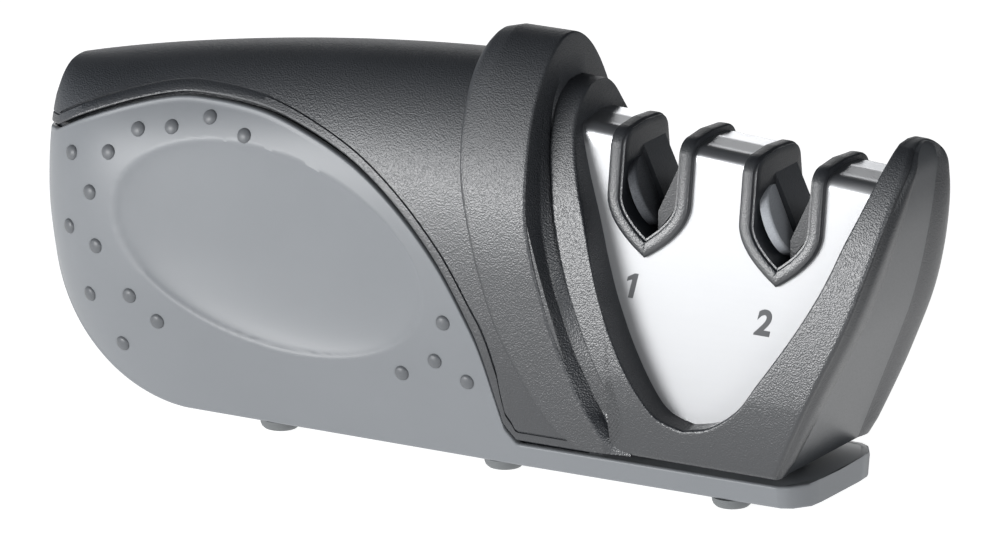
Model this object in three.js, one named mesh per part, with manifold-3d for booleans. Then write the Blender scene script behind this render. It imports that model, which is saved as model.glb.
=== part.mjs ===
// Hand-held two-stage knife sharpener with rotating abrasive discs.
// Millimetres, +Z up. X runs from the handle's rear to the head, the front faces -Y,
// and the origin is the middle of the footprint at the height of the table.
import * as THREE from 'three';
import { mergeVertices } from 'three/addons/utils/BufferGeometryUtils.js';
import Module from 'manifold-3d';

const wasm = await Module();
wasm.setup();

// Driving dimensions of the whole object
const rearX = -102;
const frontX = 104.6;
const middleX = (rearX + frontX) / 2;
const bodyHalf = 22.6;
const baseZ = 2.3;
const hoodFootZ = 9.5;
const hoodTopZ = 92;
const wall = 2.4;
const floorThick = 2.4;
const gap = 0.35;
const overrun = 3;
const reach = 60;
const weldDistance = 1e-4;

// Places of the side view are shares: of the rear or the front length, and of the hood's height
const hoodHeight = hoodTopZ - hoodFootZ;
const along = (share) => share * (share < 0 ? -rearX : frontX);
const tall = (share) => hoodFootZ + share * hoodHeight;
const drawn = (shares) => shares.map(([x, z]) => [along(x), tall(z)]);

// Handle: plan nose, rear outline, crown line and section shares
const noseStartX = -70;
const noseBluntness = 2.5;
const sweepStartX = -62;
const sweepHeightZ = 44.4;
const sweepBluntness = 1.8;
const shoulderX = -98.5;
const crownTopShare = 0.93091;
const crownTopZ = tall(crownTopShare);
const crownTopX = 32;
const crownRadius = 526;
const bodyEndX = 82;
const bodyTaper = 0.02;
const taperStartX = 20;
const sideStep = Math.PI / 9;
const bodySection = { waistShare: 0.42, footShare: 0.79, power: 2.6, root: 2.2 };

// Parting line between the grey grip shell and the dark handle cover
const partingRearShares = [[-0.9363, 0.583]];
const [partingRear] = drawn(partingRearShares);
const partingShares = [
  [-0.8569, 0.6339], [-0.7451, 0.6897], [-0.6402, 0.7261], [-0.549, 0.7345], [-0.4627, 0.7321],
  [-0.402, 0.7224], [-0.3382, 0.703], [-0.2647, 0.6727], [-0.1941, 0.6327], [-0.1225, 0.5745],
  [-0.052, 0.4982], [0.0153, 0.4012], [0.0793, 0.2703], [0.109, 0.1855], [0.1348, 0.0752],
  [0.1472, 0.0109],
];
const partingPoints = drawn(partingShares);
const partingGap = 0.8;
const stripTopZ = 7.4;
const stripStartX = 18;
const stripEndX = 79.6;

// Thumb dish: a leaning oval on both sides
const dishX = -40.2;
const dishShare = 0.38424;
const dishZ = tall(dishShare);
const dishHalfLength = 37.6;
const dishHeightShare = 0.25455;
const dishHalfHeight = dishHeightShare * hoodHeight;
const dishLean = -4.4;
const dishDepth = 3.6;
const dishBluntness = 0.8;

// Raised grip dots, as X and Z on the side panel
const dotRadius = 1.6;
const dotProud = 0.55;
const dotShares = [
  [-0.8804, 0.543], [-0.7833, 0.5673], [-0.7206, 0.6352], [-0.6422, 0.6545], [-0.5559, 0.6933],
  [-0.4667, 0.6655], [-0.8225, 0.457], [-0.8804, 0.3515], [-0.8049, 0.32], [-0.8275, 0.1842],
  [-0.7225, 0.2048], [-0.6578, 0.1479], [-0.75, 0.0667], [0.022, 0.2752], [0, 0.1685],
  [-0.0804, 0.12], [0.0717, 0.1261],
];
const dotPlaces = drawn(dotShares);

// Hood: the raised collar between handle and head
const hoodProud = 0.3;
const hoodHalf = bodyHalf + hoodProud;
const hoodCrest = hoodTopZ + overrun;
const hoodCrown = [[-3, 7.5], [1.5, 4], [4, 1.2], [8, 0.1], [18, 0], [50, 0]];
const hoodCrownWidthShare = 0.2;
const hoodEndWall = 2.2;
const hoodSection = { waistShare: 0.42, footShare: 0.95, power: 2, root: 1.9 };
const hoodSeamShares = [
  [0.0191, 1.0364], [0.0229, 0.9273], [0.0296, 0.8461], [0.044, 0.6958], [0.0602, 0.6036],
  [0.1023, 0.4194], [0.1367, 0.297], [0.1692, 0.2194], [0.2199, 0.12], [0.262, 0.0558],
  [0.3031, 0.0158], [0.3346, 0],
];
const hoodSeam = drawn(hoodSeamShares);
const hoodRidgeShares = [
  [0.3786, 0], [0.3853, 0.0303], [0.3413, 0.1079], [0.3088, 0.1855], [0.2696, 0.2921],
  [0.2428, 0.3939], [0.2228, 0.4861], [0.2055, 0.5879], [0.196, 0.7394], [0.1912, 0.8545],
  [0.1912, 1.0364],
];
const hoodRidge = drawn(hoodRidgeShares);
const hoodRimShares = [
  [0.3872, 0], [0.434, 0.0679], [0.4044, 0.1297], [0.3576, 0.2327], [0.3164, 0.3333],
  [0.2859, 0.4182], [0.2581, 0.5115], [0.24, 0.5855], [0.2247, 0.6667], [0.2075, 0.7552],
  [0.1969, 0.8545], [0.1969, 1.0364],
];
const hoodRim = drawn(hoodRimShares);

// Head: frame, leaning end wall, metal plate
const frameStep = 0.6;
const frameHalf = bodyHalf - frameStep;
const frameSection = { waistShare: 0.3, footShare: 0.87, power: 1.3, root: 2.45 };
const frameFootZ = hoodFootZ;
const frameArchShare = 0.89091;
const frameArchZ = tall(frameArchShare);
const frameApexShare = 0.86667;
const frameApexZ = tall(frameApexShare);
const frameStartX = 18;
const frameWall = 2.2;
const lipInset = 7;
const lipHalf = frameHalf - lipInset;
const lipThick = 2;
const lipFootZ = 6.4;
const lipStartX = 36;
const lipEndX = 74.8;
const endEdgeShares = [
  [0.7686, 0], [0.8719, 0.28], [0.9159, 0.4048], [0.9484, 0.5261], [0.9771, 0.6606],
  [0.9933, 0.7576], [1, 0.8182], [0.9847, 0.8667],
];
const endEdge = drawn(endEdgeShares);
const coreSink = 1.6;
const plateRidgeShare = 0.80848;
const plateRidgeZ = tall(plateRidgeShare);
const plateRidgeX = 30.8;
const ridgeFall = 0.049;
const plateInset = 4.8;
const plateFootHalf = frameHalf - plateInset;
const plateThick = 0.9;
const plateTopHalf = 4.8;
const plateBendDrop = 3.3;
const plateShoulderHalf = 8.2;
const plateSideHeight = plateRidgeZ - plateBendDrop - frameFootZ;
const plateLean = (plateFootHalf - plateShoulderHalf) / plateSideHeight;
const crownDrop = 0.5;
const plateEdgeShares = [
  [0.2581, 1.0364], [0.2581, 0.903], [0.26, 0.7939], [0.2849, 0.6848], [0.3155, 0.5758],
  [0.347, 0.4545], [0.3757, 0.3636], [0.4159, 0.263], [0.4618, 0.1733], [0.5048, 0.1176],
  [0.5621, 0.097], [0.6252, 0.1176], [0.6883, 0.1758], [0.7285, 0.2461], [0.7648, 0.3115],
  [0.805, 0.3891], [0.8423, 0.4715], [0.87, 0.5455], [0.8948, 0.6291], [0.9168, 0.7006],
  [0.9369, 0.7685], [0.9541, 0.8545], [0.9608, 0.903], [0.9646, 1.0364],
];
const plateEdge = drawn(plateEdgeShares);
const recessMargin = 0.5;

// Knife slots, their guides and the abrasive discs
const slotShares = [0.42639, 0.72658];
const slotXs = slotShares.map(along);
const guideHalf = 9.7;
const guideInner = 6.3;
const guideDepth = 25.5;
const guideFloor = 4.7;
const guideStraight = 13.2;
const guideProud = 1.4;
const guideCrownProud = 0.6;
const wedgeTopDrop = 4.5;
const wedgeFootDrop = 16.5;
const wedgeFootHalf = 0.6;
const wedgeFarY = 7.5;
const wedgeNearY = 1.6;
const mouthFlare = 0.9;
const mouthFlareY = 1;
const discRadius = 7.7;
const discThick = 2.2;
const discDrop = 13.5;
const discSide = 2.4;
const discStandOff = 3.3;
const discTilt = THREE.MathUtils.degToRad(23.5);
const discYaw = THREE.MathUtils.degToRad(12);
const discEdge = 0.4;
const discSocket = 3.4;
const discFace = 0.9;
const hubSpigot = 3.1;
const hubFlange = 4;
const hubFlangeThick = 1.2;
const hubSleeve = 2.8;
const hubLength = 5.4;
const hubCap = 0.8;
const pinRadius = 1.5;
const pinLength = 12.4;
const washerThick = 0.7;
const washerRadius = 3.6;
const runGap = 0.3;

// Inner disc housing: block behind the plate, wings for the outer pins, legs on the floor
const housingInset = 6.5;
const housingWingsShares = [
  [0.2734, 0.4303], [0.2734, 0.7333], [0.9273, 0.7333], [0.87, 0.5636], [0.7839, 0.3939],
  [0.5545, 0.2485],
];
const housingWings = drawn(housingWingsShares);
const housingLegs = [[39, 46], [65, 72]];
const housingLegTopShare = 0.41818;
const housingLegTopZ = tall(housingLegTopShare);
const housingCoreHalf = 8;
const housingCoreTopShare = 0.29697;
const housingCoreTopZ = tall(housingCoreTopShare);

// Feet and screws
const footXs = [-42.4, 11.7, 66.1];
const footInset = 9.6;
const footY = bodyHalf - footInset;
const footRadius = 4.3;
const footFlat = 3.1;
const footSideZ = 1.2;
const footHollow = 1.9;
const footHollowDepth = 0.9;
const footStem = 2;
const screwXs = [-62, -8];
const housingScrewXs = [42.5, 68.5];
const screwHead = 3;
const screwHeadThick = 1.2;
const screwShank = 1.3;
const screwLength = 10;
const bossRadius = 3.6;
const crossWidth = 0.7;
const crossDepth = 0.8;

// A closed geometry becomes a solid that can be joined and cut, with its faces turned outwards
function solid(geometry) {
  const bare = new THREE.BufferGeometry();
  bare.setAttribute('position', geometry.getAttribute('position'));
  if (geometry.index) bare.setIndex(geometry.index);
  const merged = mergeVertices(bare, weldDistance);
  const vertProperties = new Float32Array(merged.getAttribute('position').array);
  const corner = (i) => new THREE.Vector3().fromArray(vertProperties, 3 * i);
  const faces = [];
  let volume = 0;
  for (let i = 0; i < merged.index.count; i += 3) {
    const [a, b, c] = [0, 1, 2].map((k) => merged.index.getX(i + k));
    if (a === b || b === c || c === a) continue;
    faces.push([a, b, c]);
    volume += corner(a).dot(corner(b).cross(corner(c)));
  }
  const triVerts = new Uint32Array(faces.map((face) => (volume < 0 ? face.reverse() : face)).flat());
  return new wasm.Manifold(new wasm.Mesh({ numProp: 3, vertProperties, triVerts }));
}

// A solid becomes a geometry again
function geometryOf(shape) {
  const mesh = shape.getMesh();
  const geometry = new THREE.BufferGeometry();
  geometry.setAttribute('position', new THREE.BufferAttribute(new Float32Array(mesh.vertProperties), 3));
  geometry.setIndex(new THREE.BufferAttribute(new Uint32Array(mesh.triVerts), 1));
  geometry.computeVertexNormals();
  return geometry;
}

// Rings of equal count, joined side by side along X or along Y and closed at both ends
const acrossX = (p) => new THREE.Vector2(p.y, p.z);
const acrossY = (p) => new THREE.Vector2(p.z, p.x);
function loft(rings, across = acrossX) {
  const count = rings[0].length;
  const faces = [];
  for (let i = 0; i + 1 < rings.length; i += 1) {
    for (let j = 0; j < count; j += 1) {
      const a = i * count + j;
      const b = i * count + (j + 1) % count;
      faces.push(a, a + count, b, b, a + count, b + count);
    }
  }
  const lastRow = (rings.length - 1) * count;
  for (const [row, turn] of [[0, -1], [lastRow, 1]]) {
    const flat = rings[row / count].map(across);
    const winding = THREE.ShapeUtils.area(flat) * turn;
    for (const face of THREE.ShapeUtils.triangulateShape(flat, [])) {
      const area = THREE.ShapeUtils.area(face.map((i) => flat[i]));
      const outward = area * winding < 0 ? face : [...face].reverse();
      faces.push(...outward.map((i) => row + i));
    }
  }
  const geometry = new THREE.BufferGeometry().setFromPoints(rings.flat());
  geometry.setIndex(faces);
  return solid(geometry);
}

// An outline in X and Z becomes a slab between two Y values
function slab(points, fromY, toY) {
  const shape = new THREE.Shape(points.map(([x, z]) => new THREE.Vector2(x, z)));
  const geometry = new THREE.ExtrudeGeometry(shape, { depth: toY - fromY, bevelEnabled: false });
  geometry.rotateX(Math.PI / 2);
  geometry.translate(0, toY, 0);
  return solid(geometry);
}

// A profile of radius and height turned about its own axis, then laid along a direction
function turned(profile, segments, place, direction) {
  const geometry = new THREE.LatheGeometry(profile.map(([r, h]) => new THREE.Vector2(r, h)), segments);
  const turn = new THREE.Quaternion().setFromUnitVectors(new THREE.Vector3(0, 1, 0), direction);
  geometry.applyQuaternion(turn);
  geometry.translate(place.x, place.y, place.z);
  return solid(geometry);
}

// A plain cylinder between two heights, upright at one place
const up = new THREE.Vector3(0, 0, 1);
function post(radius, x, y, fromZ, toZ, segments) {
  const profile = [[0, fromZ], [radius, fromZ], [radius, toZ], [0, toZ]];
  return turned(profile, segments, new THREE.Vector3(x, y, 0), up);
}

// Smooth curve through hand-chosen points
function through(points, steps) {
  const curve = new THREE.SplineCurve(points.map(([x, z]) => new THREE.Vector2(x, z)));
  return curve.getPoints(steps).map((p) => [p.x, p.y]);
}

// Half width of the handle in plan: full, then a blunt nose at the rear
function planHalf(x) {
  if (x >= noseStartX) return bodyHalf - bodyTaper * Math.max(x - taperStartX, 0);
  const share = Math.min(1, (noseStartX - x) / (noseStartX - rearX));
  return bodyHalf * (1 - share ** noseBluntness) ** (1 / noseBluntness);
}

// Lowest and highest line of the handle over its length
function footZ(x) {
  if (x >= sweepStartX) return baseZ;
  const share = Math.min(1, (sweepStartX - x) / (sweepStartX - rearX));
  return sweepHeightZ - (sweepHeightZ - baseZ) * (1 - share ** sweepBluntness) ** (1 / sweepBluntness);
}
function crownZ(x) {
  const high = crownTopZ - (crownTopX - x) ** 2 / (2 * crownRadius);
  if (x >= shoulderX) return high;
  const share = (x - rearX) / (shoulderX - rearX);
  return sweepHeightZ + (crownZ(shoulderX) - sweepHeightZ) * share;
}

// Share of the half width at a share of the height: flat foot, full waist, round crown
function sectionShare(share, { waistShare, footShare, power, root }) {
  if (share <= waistShare) return 1 - (1 - footShare) * (1 - share / waistShare) ** 2;
  return Math.max(0, 1 - ((share - waistShare) / (1 - waistShare)) ** power) ** (1 / root);
}

// One closed section, from the front foot over the crown to the rear foot
function ring(x, low, high, half, section) {
  const heights = [];
  for (let turn = 0; turn < Math.PI - sideStep / 2; turn += sideStep) {
    heights.push((1 - Math.cos(turn)) / 2);
  }
  const side = heights.map((share) => [half * sectionShare(share, section), low + (high - low) * share]);
  const front = side.map(([y, z]) => new THREE.Vector3(x, -y, z));
  const rear = side.map(([y, z]) => new THREE.Vector3(x, y, z)).reverse();
  return [...front, new THREE.Vector3(x, 0, high), ...rear];
}

// Half width of the handle's skin at a point of its side
function skinY(x, z) {
  const share = THREE.MathUtils.clamp((z - footZ(x)) / (crownZ(x) - footZ(x)), 0, 1);
  return planHalf(x) * sectionShare(share, bodySection);
}

// The handle's full form, drawn in by a wall's thickness where that is asked
const noseShares = [0.004, 0.03, 0.09, 0.17, 0.27, 0.4, 0.56, 0.76];
const bodyShares = [0, 0.18, 0.36, 0.54, 0.68, 1];
function bodyForm(inset) {
  const start = rearX + inset;
  const xs = noseShares.map((share) => start + (noseStartX - start) * share);
  for (const share of bodyShares) xs.push(noseStartX + (bodyEndX - noseStartX) * share);
  const rings = xs.map((x) => {
    const at = x - inset * Math.max(0, (noseStartX - x) / (noseStartX - start));
    const middle = (footZ(at) + crownZ(at)) / 2;
    const low = Math.min(footZ(at) + inset, middle - gap);
    const high = Math.max(crownZ(at) - inset, middle + gap);
    return ring(x, low, high, Math.max(planHalf(at) - inset, gap), bodySection);
  });
  return loft(rings);
}

// Region of the side view that the grey shell fills
function gripOutline() {
  const parting = through([partingRear, ...partingPoints], 24);
  return [
    [rearX - overrun, baseZ - overrun], [rearX - overrun, partingRear[1] - partingGap],
    ...parting, [stripStartX, stripTopZ], [stripEndX, stripTopZ], [stripEndX - baseZ, baseZ - overrun],
  ];
}

// Region of the side view that the dark handle cover fills
function coverOutline() {
  const parting = through([partingRear, ...partingPoints], 24);
  const lip = parting.map(([x, z]) => [x + partingGap / 2, z + partingGap]);
  const seam = through(hoodSeam, 14).map(([x, z]) => [x - gap, z]).reverse();
  return [
    [rearX - overrun, partingRear[1]], ...lip, [stripStartX + partingGap, stripTopZ + partingGap],
    ...seam, [rearX - overrun, hoodSeam[0][1]],
  ];
}

// The thumb dish as a plug that can be cut away, grown by a wall's thickness where that is asked
function dishPlug(side, growth) {
  const around = 24;
  const shares = [0.3, 0.55, 0.76, 0.92, 1];
  const points = [];
  const faces = [];
  const grow = (dishHalfLength + growth) / dishHalfLength;
  const spot = (share, turn) => {
    const x = dishX + dishHalfLength * grow * share * Math.cos(turn);
    const lean = dishLean * share * Math.cos(turn);
    const z = dishZ + lean + (dishHalfHeight + growth) * share * Math.sin(turn);
    const depth = dishDepth * (1 - share ** 2) ** dishBluntness + growth;
    return [x, skinY(x, z) - depth, z];
  };
  const add = ([x, y, z]) => points.push(new THREE.Vector3(x, side * y, z));
  add(spot(0, 0));
  for (const share of shares) {
    for (let i = 0; i < around; i += 1) add(spot(share, 2 * Math.PI * i / around));
  }
  for (let i = 0; i < around; i += 1) {
    const [x, , z] = spot(1, 2 * Math.PI * i / around);
    add([x, bodyHalf + overrun, z]);
  }
  add([dishX, bodyHalf + overrun, dishZ]);
  const at = (row, i) => 1 + row * around + i % around;
  const rows = shares.length + 1;
  for (let i = 0; i < around; i += 1) {
    faces.push(0, at(0, i + 1), at(0, i));
    for (let row = 0; row + 1 < rows; row += 1) {
      faces.push(at(row, i), at(row, i + 1), at(row + 1, i));
      faces.push(at(row, i + 1), at(row + 1, i + 1), at(row + 1, i));
    }
    faces.push(at(rows - 1, i), at(rows - 1, i + 1), points.length - 1);
  }
  const geometry = new THREE.BufferGeometry().setFromPoints(points);
  geometry.setIndex(faces);
  return solid(geometry);
}

// A raised dot: a low dome whose foot is sunk in the panel
function gripDot(x, z, side) {
  const base = skinY(x, z) - dotProud;
  const top = 2 * dotProud;
  const profile = [[0, 0], [dotRadius, 0], [dotRadius, dotProud], [dotRadius / 2, top], [0, top]];
  return turned(profile, 6, new THREE.Vector3(x, side * base, z), new THREE.Vector3(0, side, 0));
}

// Grey grip shell: tub with two side panels, two dishes and the strip under the head
function gripShell() {
  let skin = bodyForm(0).intersect(slab(gripOutline(), -reach, reach));
  const cavityEnd = [
    [rearX, baseZ - overrun], [rearX, hoodTopZ], [stripEndX - wall, hoodTopZ],
    [stripEndX - wall - baseZ, baseZ - overrun],
  ];
  let cavity = bodyForm(wall).intersect(slab(cavityEnd, -reach, reach));
  for (const side of [-1, 1]) {
    cavity = cavity.subtract(dishPlug(side, wall));
    skin = skin.subtract(dishPlug(side, 0));
  }
  skin = skin.subtract(cavity);
  for (const side of [-1, 1]) for (const [x, z] of dotPlaces) skin = skin.add(gripDot(x, z, side));
  const top = baseZ + floorThick + overrun;
  for (const x of footXs) {
    for (const side of [-1, 1]) {
      skin = skin.subtract(post(footStem + runGap, x, side * footY, baseZ - overrun, top, 8));
    }
  }
  for (const x of [...screwXs, ...housingScrewXs]) {
    skin = skin.subtract(post(screwShank + runGap, x, 0, baseZ - overrun, top, 8));
    const sinkTop = baseZ + screwHeadThick + runGap;
    skin = skin.subtract(post(screwHead + runGap, x, 0, baseZ - overrun, sinkTop, 12));
  }
  return skin;
}

// Dark handle cover with two screw bosses
function handleCover() {
  let skin = bodyForm(0).intersect(slab(coverOutline(), -reach, reach)).subtract(bodyForm(wall));
  for (const x of screwXs) {
    const foot = footZ(x - 2 * bossRadius) + floorThick + gap;
    const bore = post(screwShank + gap / 2, x, 0, baseZ, baseZ + screwLength + overrun, 8);
    skin = skin.add(post(bossRadius, x, 0, foot, crownZ(x) - wall / 2, 12)).subtract(bore);
  }
  return skin;
}

// Section of the head at one place: leaning sides, bent shoulder, low crown
function headRing(x, foot, half, lean, ridge, drop, topHalf) {
  const bendZ = ridge - drop;
  const bendY = half - lean * (bendZ - frameFootZ);
  const side = [[half - lean * (foot - frameFootZ), foot], [bendY, bendZ]];
  const bend = new THREE.QuadraticBezierCurve(
    new THREE.Vector2(bendY, bendZ), new THREE.Vector2(bendY - lean * drop, ridge - crownDrop),
    new THREE.Vector2(Math.min(topHalf, bendY - gap), ridge - crownDrop),
  );
  for (const p of bend.getPoints(4).slice(1)) side.push([p.x, p.y]);
  const front = side.map(([y, z]) => new THREE.Vector3(x, -y, z));
  const rear = side.map(([y, z]) => new THREE.Vector3(x, y, z)).reverse();
  return [...front, new THREE.Vector3(x, 0, ridge), ...rear];
}

// Ridge line of the plate, and the forms of plate and frame, grown where that is asked
const plateZ = (x) => plateRidgeZ - ridgeFall * (x - plateRidgeX);
function plateForm(grow, rise = grow) {
  const half = plateFootHalf + grow;
  const topHalf = Math.max(plateTopHalf + rise, gap);
  return loft([frameStartX, frontX].map((x) => headRing(
    x, frameFootZ - overrun, half, plateLean, plateZ(x) + rise, plateBendDrop, topHalf,
  )));
}
function frameForm(grow) {
  const fall = (frameArchZ - frameApexZ) / (frontX - frameStartX);
  return loft([frameStartX - overrun, frontX + overrun].map((x) => ring(
    x, baseZ, frameArchZ - fall * (x - frameStartX) + grow, frameHalf + grow, frameSection,
  )));
}

// Side view of the head frame: foot, leaning end face and rounded apex
function frameOutline(inset, foot) {
  const seam = through(hoodSeam, 12).map(([x, z]) => [x + overrun - inset, z]);
  const end = through(endEdge, 12).map(([x, z]) => [x - inset, z]);
  return [
    ...seam.filter(([, z]) => z > frameFootZ + overrun), [seam[seam.length - 1][0] + 2 * inset, foot],
    [end[0][0], foot], ...end.slice(1), [end[end.length - 1][0] - overrun, frameArchZ + overrun],
  ];
}
const plateOutline = () => through(plateEdge, 36);
function recessOutline(margin) {
  const [middleX] = plateEdge.reduce((low, point) => (point[1] < low[1] ? point : low));
  return plateOutline().map(([x, z]) => {
    const share = THREE.MathUtils.clamp((x - middleX) / (middleX - plateEdge[0][0]), -1, 1);
    return [x + margin * share, z - margin * (1 - Math.abs(share))];
  });
}

// Tulip outline of a knife slot: straight sides and a pointed foot
function tulip(x, half, foot, straight, top) {
  const side = new THREE.QuadraticBezierCurve(
    new THREE.Vector2(half, straight), new THREE.Vector2(half, (straight + foot) / 2),
    new THREE.Vector2(0, foot),
  ).getPoints(6);
  const right = side.map((p) => [x + p.x, p.y]);
  const left = side.slice(0, -1).map((p) => [x - p.x, p.y]).reverse();
  return [[x + half, top], ...right, ...left, [x - half, top]];
}
const outerTulip = (x) => tulip(
  x, guideHalf, plateZ(x) - guideDepth, plateZ(x) - guideStraight, hoodTopZ,
);
const innerTulip = (x) => tulip(
  x, guideInner, plateZ(x) - guideDepth + guideFloor, plateZ(x) - guideStraight, hoodTopZ + overrun,
);
const clearTulip = (x) => tulip(
  x, guideHalf + gap, plateZ(x) - guideDepth - gap, plateZ(x) - guideStraight, hoodTopZ + overrun,
);

// Place and direction of one disc: its face's centre and the way that the face looks
function discSeat(stage, side) {
  const x = slotXs[stage];
  const tilt = Math.tan(discTilt);
  return {
    place: new THREE.Vector3(x + side * discStandOff, side * discSide, plateZ(x) - discDrop),
    look: new THREE.Vector3(-side, -side * Math.tan(discYaw), tilt).normalize(),
  };
}

// Room that a turning disc, its hub and its pin need inside a neighbour
function discRoom(stage, side) {
  const { place, look } = discSeat(stage, side);
  const back = -discThick - hubLength - washerThick - 2 * runGap;
  const step = -discThick - 2 * runGap;
  const narrow = washerRadius + 3 * runGap;
  const wide = discRadius + 2 * runGap;
  const profile = [[0, back], [narrow, back], [narrow, step], [wide, step], [wide, runGap], [0, runGap]];
  const end = -pinLength - runGap;
  const bore = pinRadius + runGap / 2;
  const boreProfile = [[0, end], [bore, end], [bore, 0], [0, 0]];
  return turned(profile, 24, place, look).add(turned(boreProfile, 12, place, look));
}

// Slot guide: a trough with a proud rim and a sloped wedge beside each disc
function slotGuide(stage) {
  const x = slotXs[stage];
  const top = plateZ(x);
  const low = top - guideDepth + guideFloor / 2;
  const body = slab(outerTulip(x), -reach, reach);
  let guide = plateForm(guideProud, guideCrownProud).intersect(body);
  guide = guide.subtract(slab(innerTulip(x), -reach, reach));
  for (const side of [-1, 1]) {
    const root = x + side * (guideInner + overrun / 2);
    const face = x + side * guideInner;
    const tip = x + side * wedgeFootHalf;
    const wedge = [
      [root, top - wedgeTopDrop], [face, top - wedgeTopDrop], [tip, top - wedgeFootDrop], [tip, low],
      [root, low + guideStraight],
    ];
    const outline = side < 0 ? wedge : [...wedge].reverse();
    const fromY = side < 0 ? -wedgeNearY : -wedgeFarY;
    const toY = side < 0 ? wedgeFarY : wedgeNearY;
    guide = guide.add(slab(outline, fromY, toY).intersect(body));
    const flare = [
      [face, top - wedgeTopDrop], [face, top + overrun], [face + side * mouthFlare, top + overrun],
      [face + side * mouthFlare, top],
    ];
    const [nearY, farY] = side < 0 ? [mouthFlareY, reach] : [-reach, -mouthFlareY];
    guide = guide.subtract(slab(side < 0 ? [...flare].reverse() : flare, nearY, farY));
  }
  for (const side of [-1, 1]) guide = guide.subtract(discRoom(stage, side));
  return guide;
}

// Bright saddle plate: a bent sheet with two slot openings
function saddlePlate() {
  let plate = plateForm(0).subtract(plateForm(-plateThick));
  plate = plate.intersect(slab(plateOutline(), -reach, reach));
  for (const x of slotXs) plate = plate.subtract(slab(clearTulip(x), -reach, reach));
  return plate;
}

// Dark head frame with its leaning end wall, window and seating lip
function headFrame() {
  let frame = frameForm(0).intersect(slab(frameOutline(0, frameFootZ), -reach, reach));
  const inner = slab(frameOutline(frameWall, frameFootZ + lipThick), -reach, reach);
  const walled = slab(recessOutline(recessMargin + frameWall), -reach, reach);
  const shell = frameForm(-frameWall).subtract(walled);
  frame = frame.subtract(shell.add(plateForm(-coreSink)).intersect(inner));
  frame = frame.subtract(slab(recessOutline(recessMargin), -reach, reach));
  const edge = (inset, lowZ, highZ) => [
    [lipStartX + inset, lowZ], [lipEndX - inset, lowZ],
    [lipEndX - inset, highZ], [lipStartX + inset, highZ],
  ];
  const lip = slab(edge(0, lipFootZ, frameFootZ + lipThick), -lipHalf, lipHalf);
  const window = slab(edge(lipThick, baseZ, frameFootZ + overrun), lipThick - lipHalf, lipHalf - lipThick);
  return frame.add(lip).subtract(window);
}

// The hood's full form, drawn in by a wall's thickness where that is asked
function hoodForm(inset) {
  const low = hoodFootZ - (inset > 0 ? overrun : 0);
  return loft(hoodCrown.map(([x, fall]) => {
    const half = hoodHalf - fall * hoodCrownWidthShare;
    return ring(x, low, hoodTopZ - fall - inset, half - inset, hoodSection);
  }));
}
function hoodSkin(z) {
  const share = Math.max(0, (z - hoodFootZ) / (hoodTopZ - hoodFootZ));
  return hoodHalf * sectionShare(share, hoodSection);
}
const frameSkin = (z) => frameHalf * sectionShare((z - baseZ) / (frameArchZ - baseZ), frameSection);

// Everything past the hood's sloping end: its ridge on the hood's skin, its rim on the head's skin
function hoodEnd() {
  const steps = 14;
  const far = [[reach, hoodCrest], [reach, hoodFootZ - overrun]];
  const ridge = [...through(hoodRidge, steps), ...far];
  const rim = [...through(hoodRim, steps), ...far];
  const outside = ridge.map(([x, z]) => new THREE.Vector3(x, reach, z));
  const outer = ridge.map(([x, z]) => new THREE.Vector3(x, Math.max(hoodSkin(z), 2 * gap), z));
  const inner = rim.map(([x, z]) => {
    const skin = Math.min(frameSkin(z), hoodSkin(z) - gap);
    return new THREE.Vector3(x, Math.max(skin, gap), z);
  });
  const flip = new THREE.Vector3(1, -1, 1);
  const levels = [outside, outer, inner];
  const front = levels.map((level) => level.map((p) => p.clone().multiply(flip)));
  return loft([...front, ...levels.reverse()], acrossY);
}
function bandOutline(lead, endCurve) {
  return [...through(hoodSeam, 14).map(([x, z]) => [x - lead, z]), ...endCurve];
}

// Raised hood collar: swept band whose sloping end lets the head through
function hoodCollar() {
  const open = [[reach, hoodFootZ], [reach, hoodCrest]];
  const end = through(hoodRidge, 14).map(([x, z]) => [x - hoodEndWall, z]);
  const below = [hoodSeam[hoodSeam.length - 1][0], end[0][0]].map((x) => [x, hoodFootZ - overrun]);
  const inside = [...below, ...end];
  return hoodForm(0).intersect(slab(bandOutline(0, open), -reach, reach))
    .subtract(hoodEnd())
    .subtract(hoodForm(wall).intersect(slab(bandOutline(overrun, inside), -reach, reach)))
    .subtract(frameForm(gap));
}

// Disc housing: block with two slots, rooms for the discs, pin bores, wings and legs
function discHousing() {
  let block = plateForm(-plateThick - gap).intersect(slab(plateOutline(), -reach, reach));
  block = block.add(plateForm(-housingInset).intersect(slab(housingWings, -reach, reach)));
  for (const [fromX, toX] of housingLegs) {
    const foot = baseZ + floorThick + gap;
    const leg = [[fromX, foot], [toX, foot], [toX, housingLegTopZ], [fromX, housingLegTopZ]];
    block = block.add(slab(leg, -housingCoreHalf, housingCoreHalf));
  }
  const [left, right] = [housingLegs[0][1], housingLegs[1][0]];
  const core = [
    [left, baseZ], [right, baseZ], [right - overrun, housingCoreTopZ], [left + overrun, housingCoreTopZ],
  ];
  block = block.subtract(slab(core, -reach, reach));
  for (const x of slotXs) block = block.subtract(slab(clearTulip(x), -reach, reach));
  for (const stage of [0, 1]) for (const side of [-1, 1]) block = block.subtract(discRoom(stage, side));
  for (const x of housingScrewXs) {
    block = block.subtract(post(screwShank + gap / 2, x, 0, baseZ, baseZ + screwLength + overrun, 8));
  }
  return block;
}

// Abrasive disc: a plain face with a blind socket behind it
function abrasiveDisc({ place, look }) {
  const profile = [
    [0, -discFace], [discSocket, -discFace], [discSocket, -discThick], [discRadius, -discThick],
    [discRadius, -discEdge], [discRadius - discEdge, 0], [0, 0],
  ];
  return turned(profile, 32, place, look);
}

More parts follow.
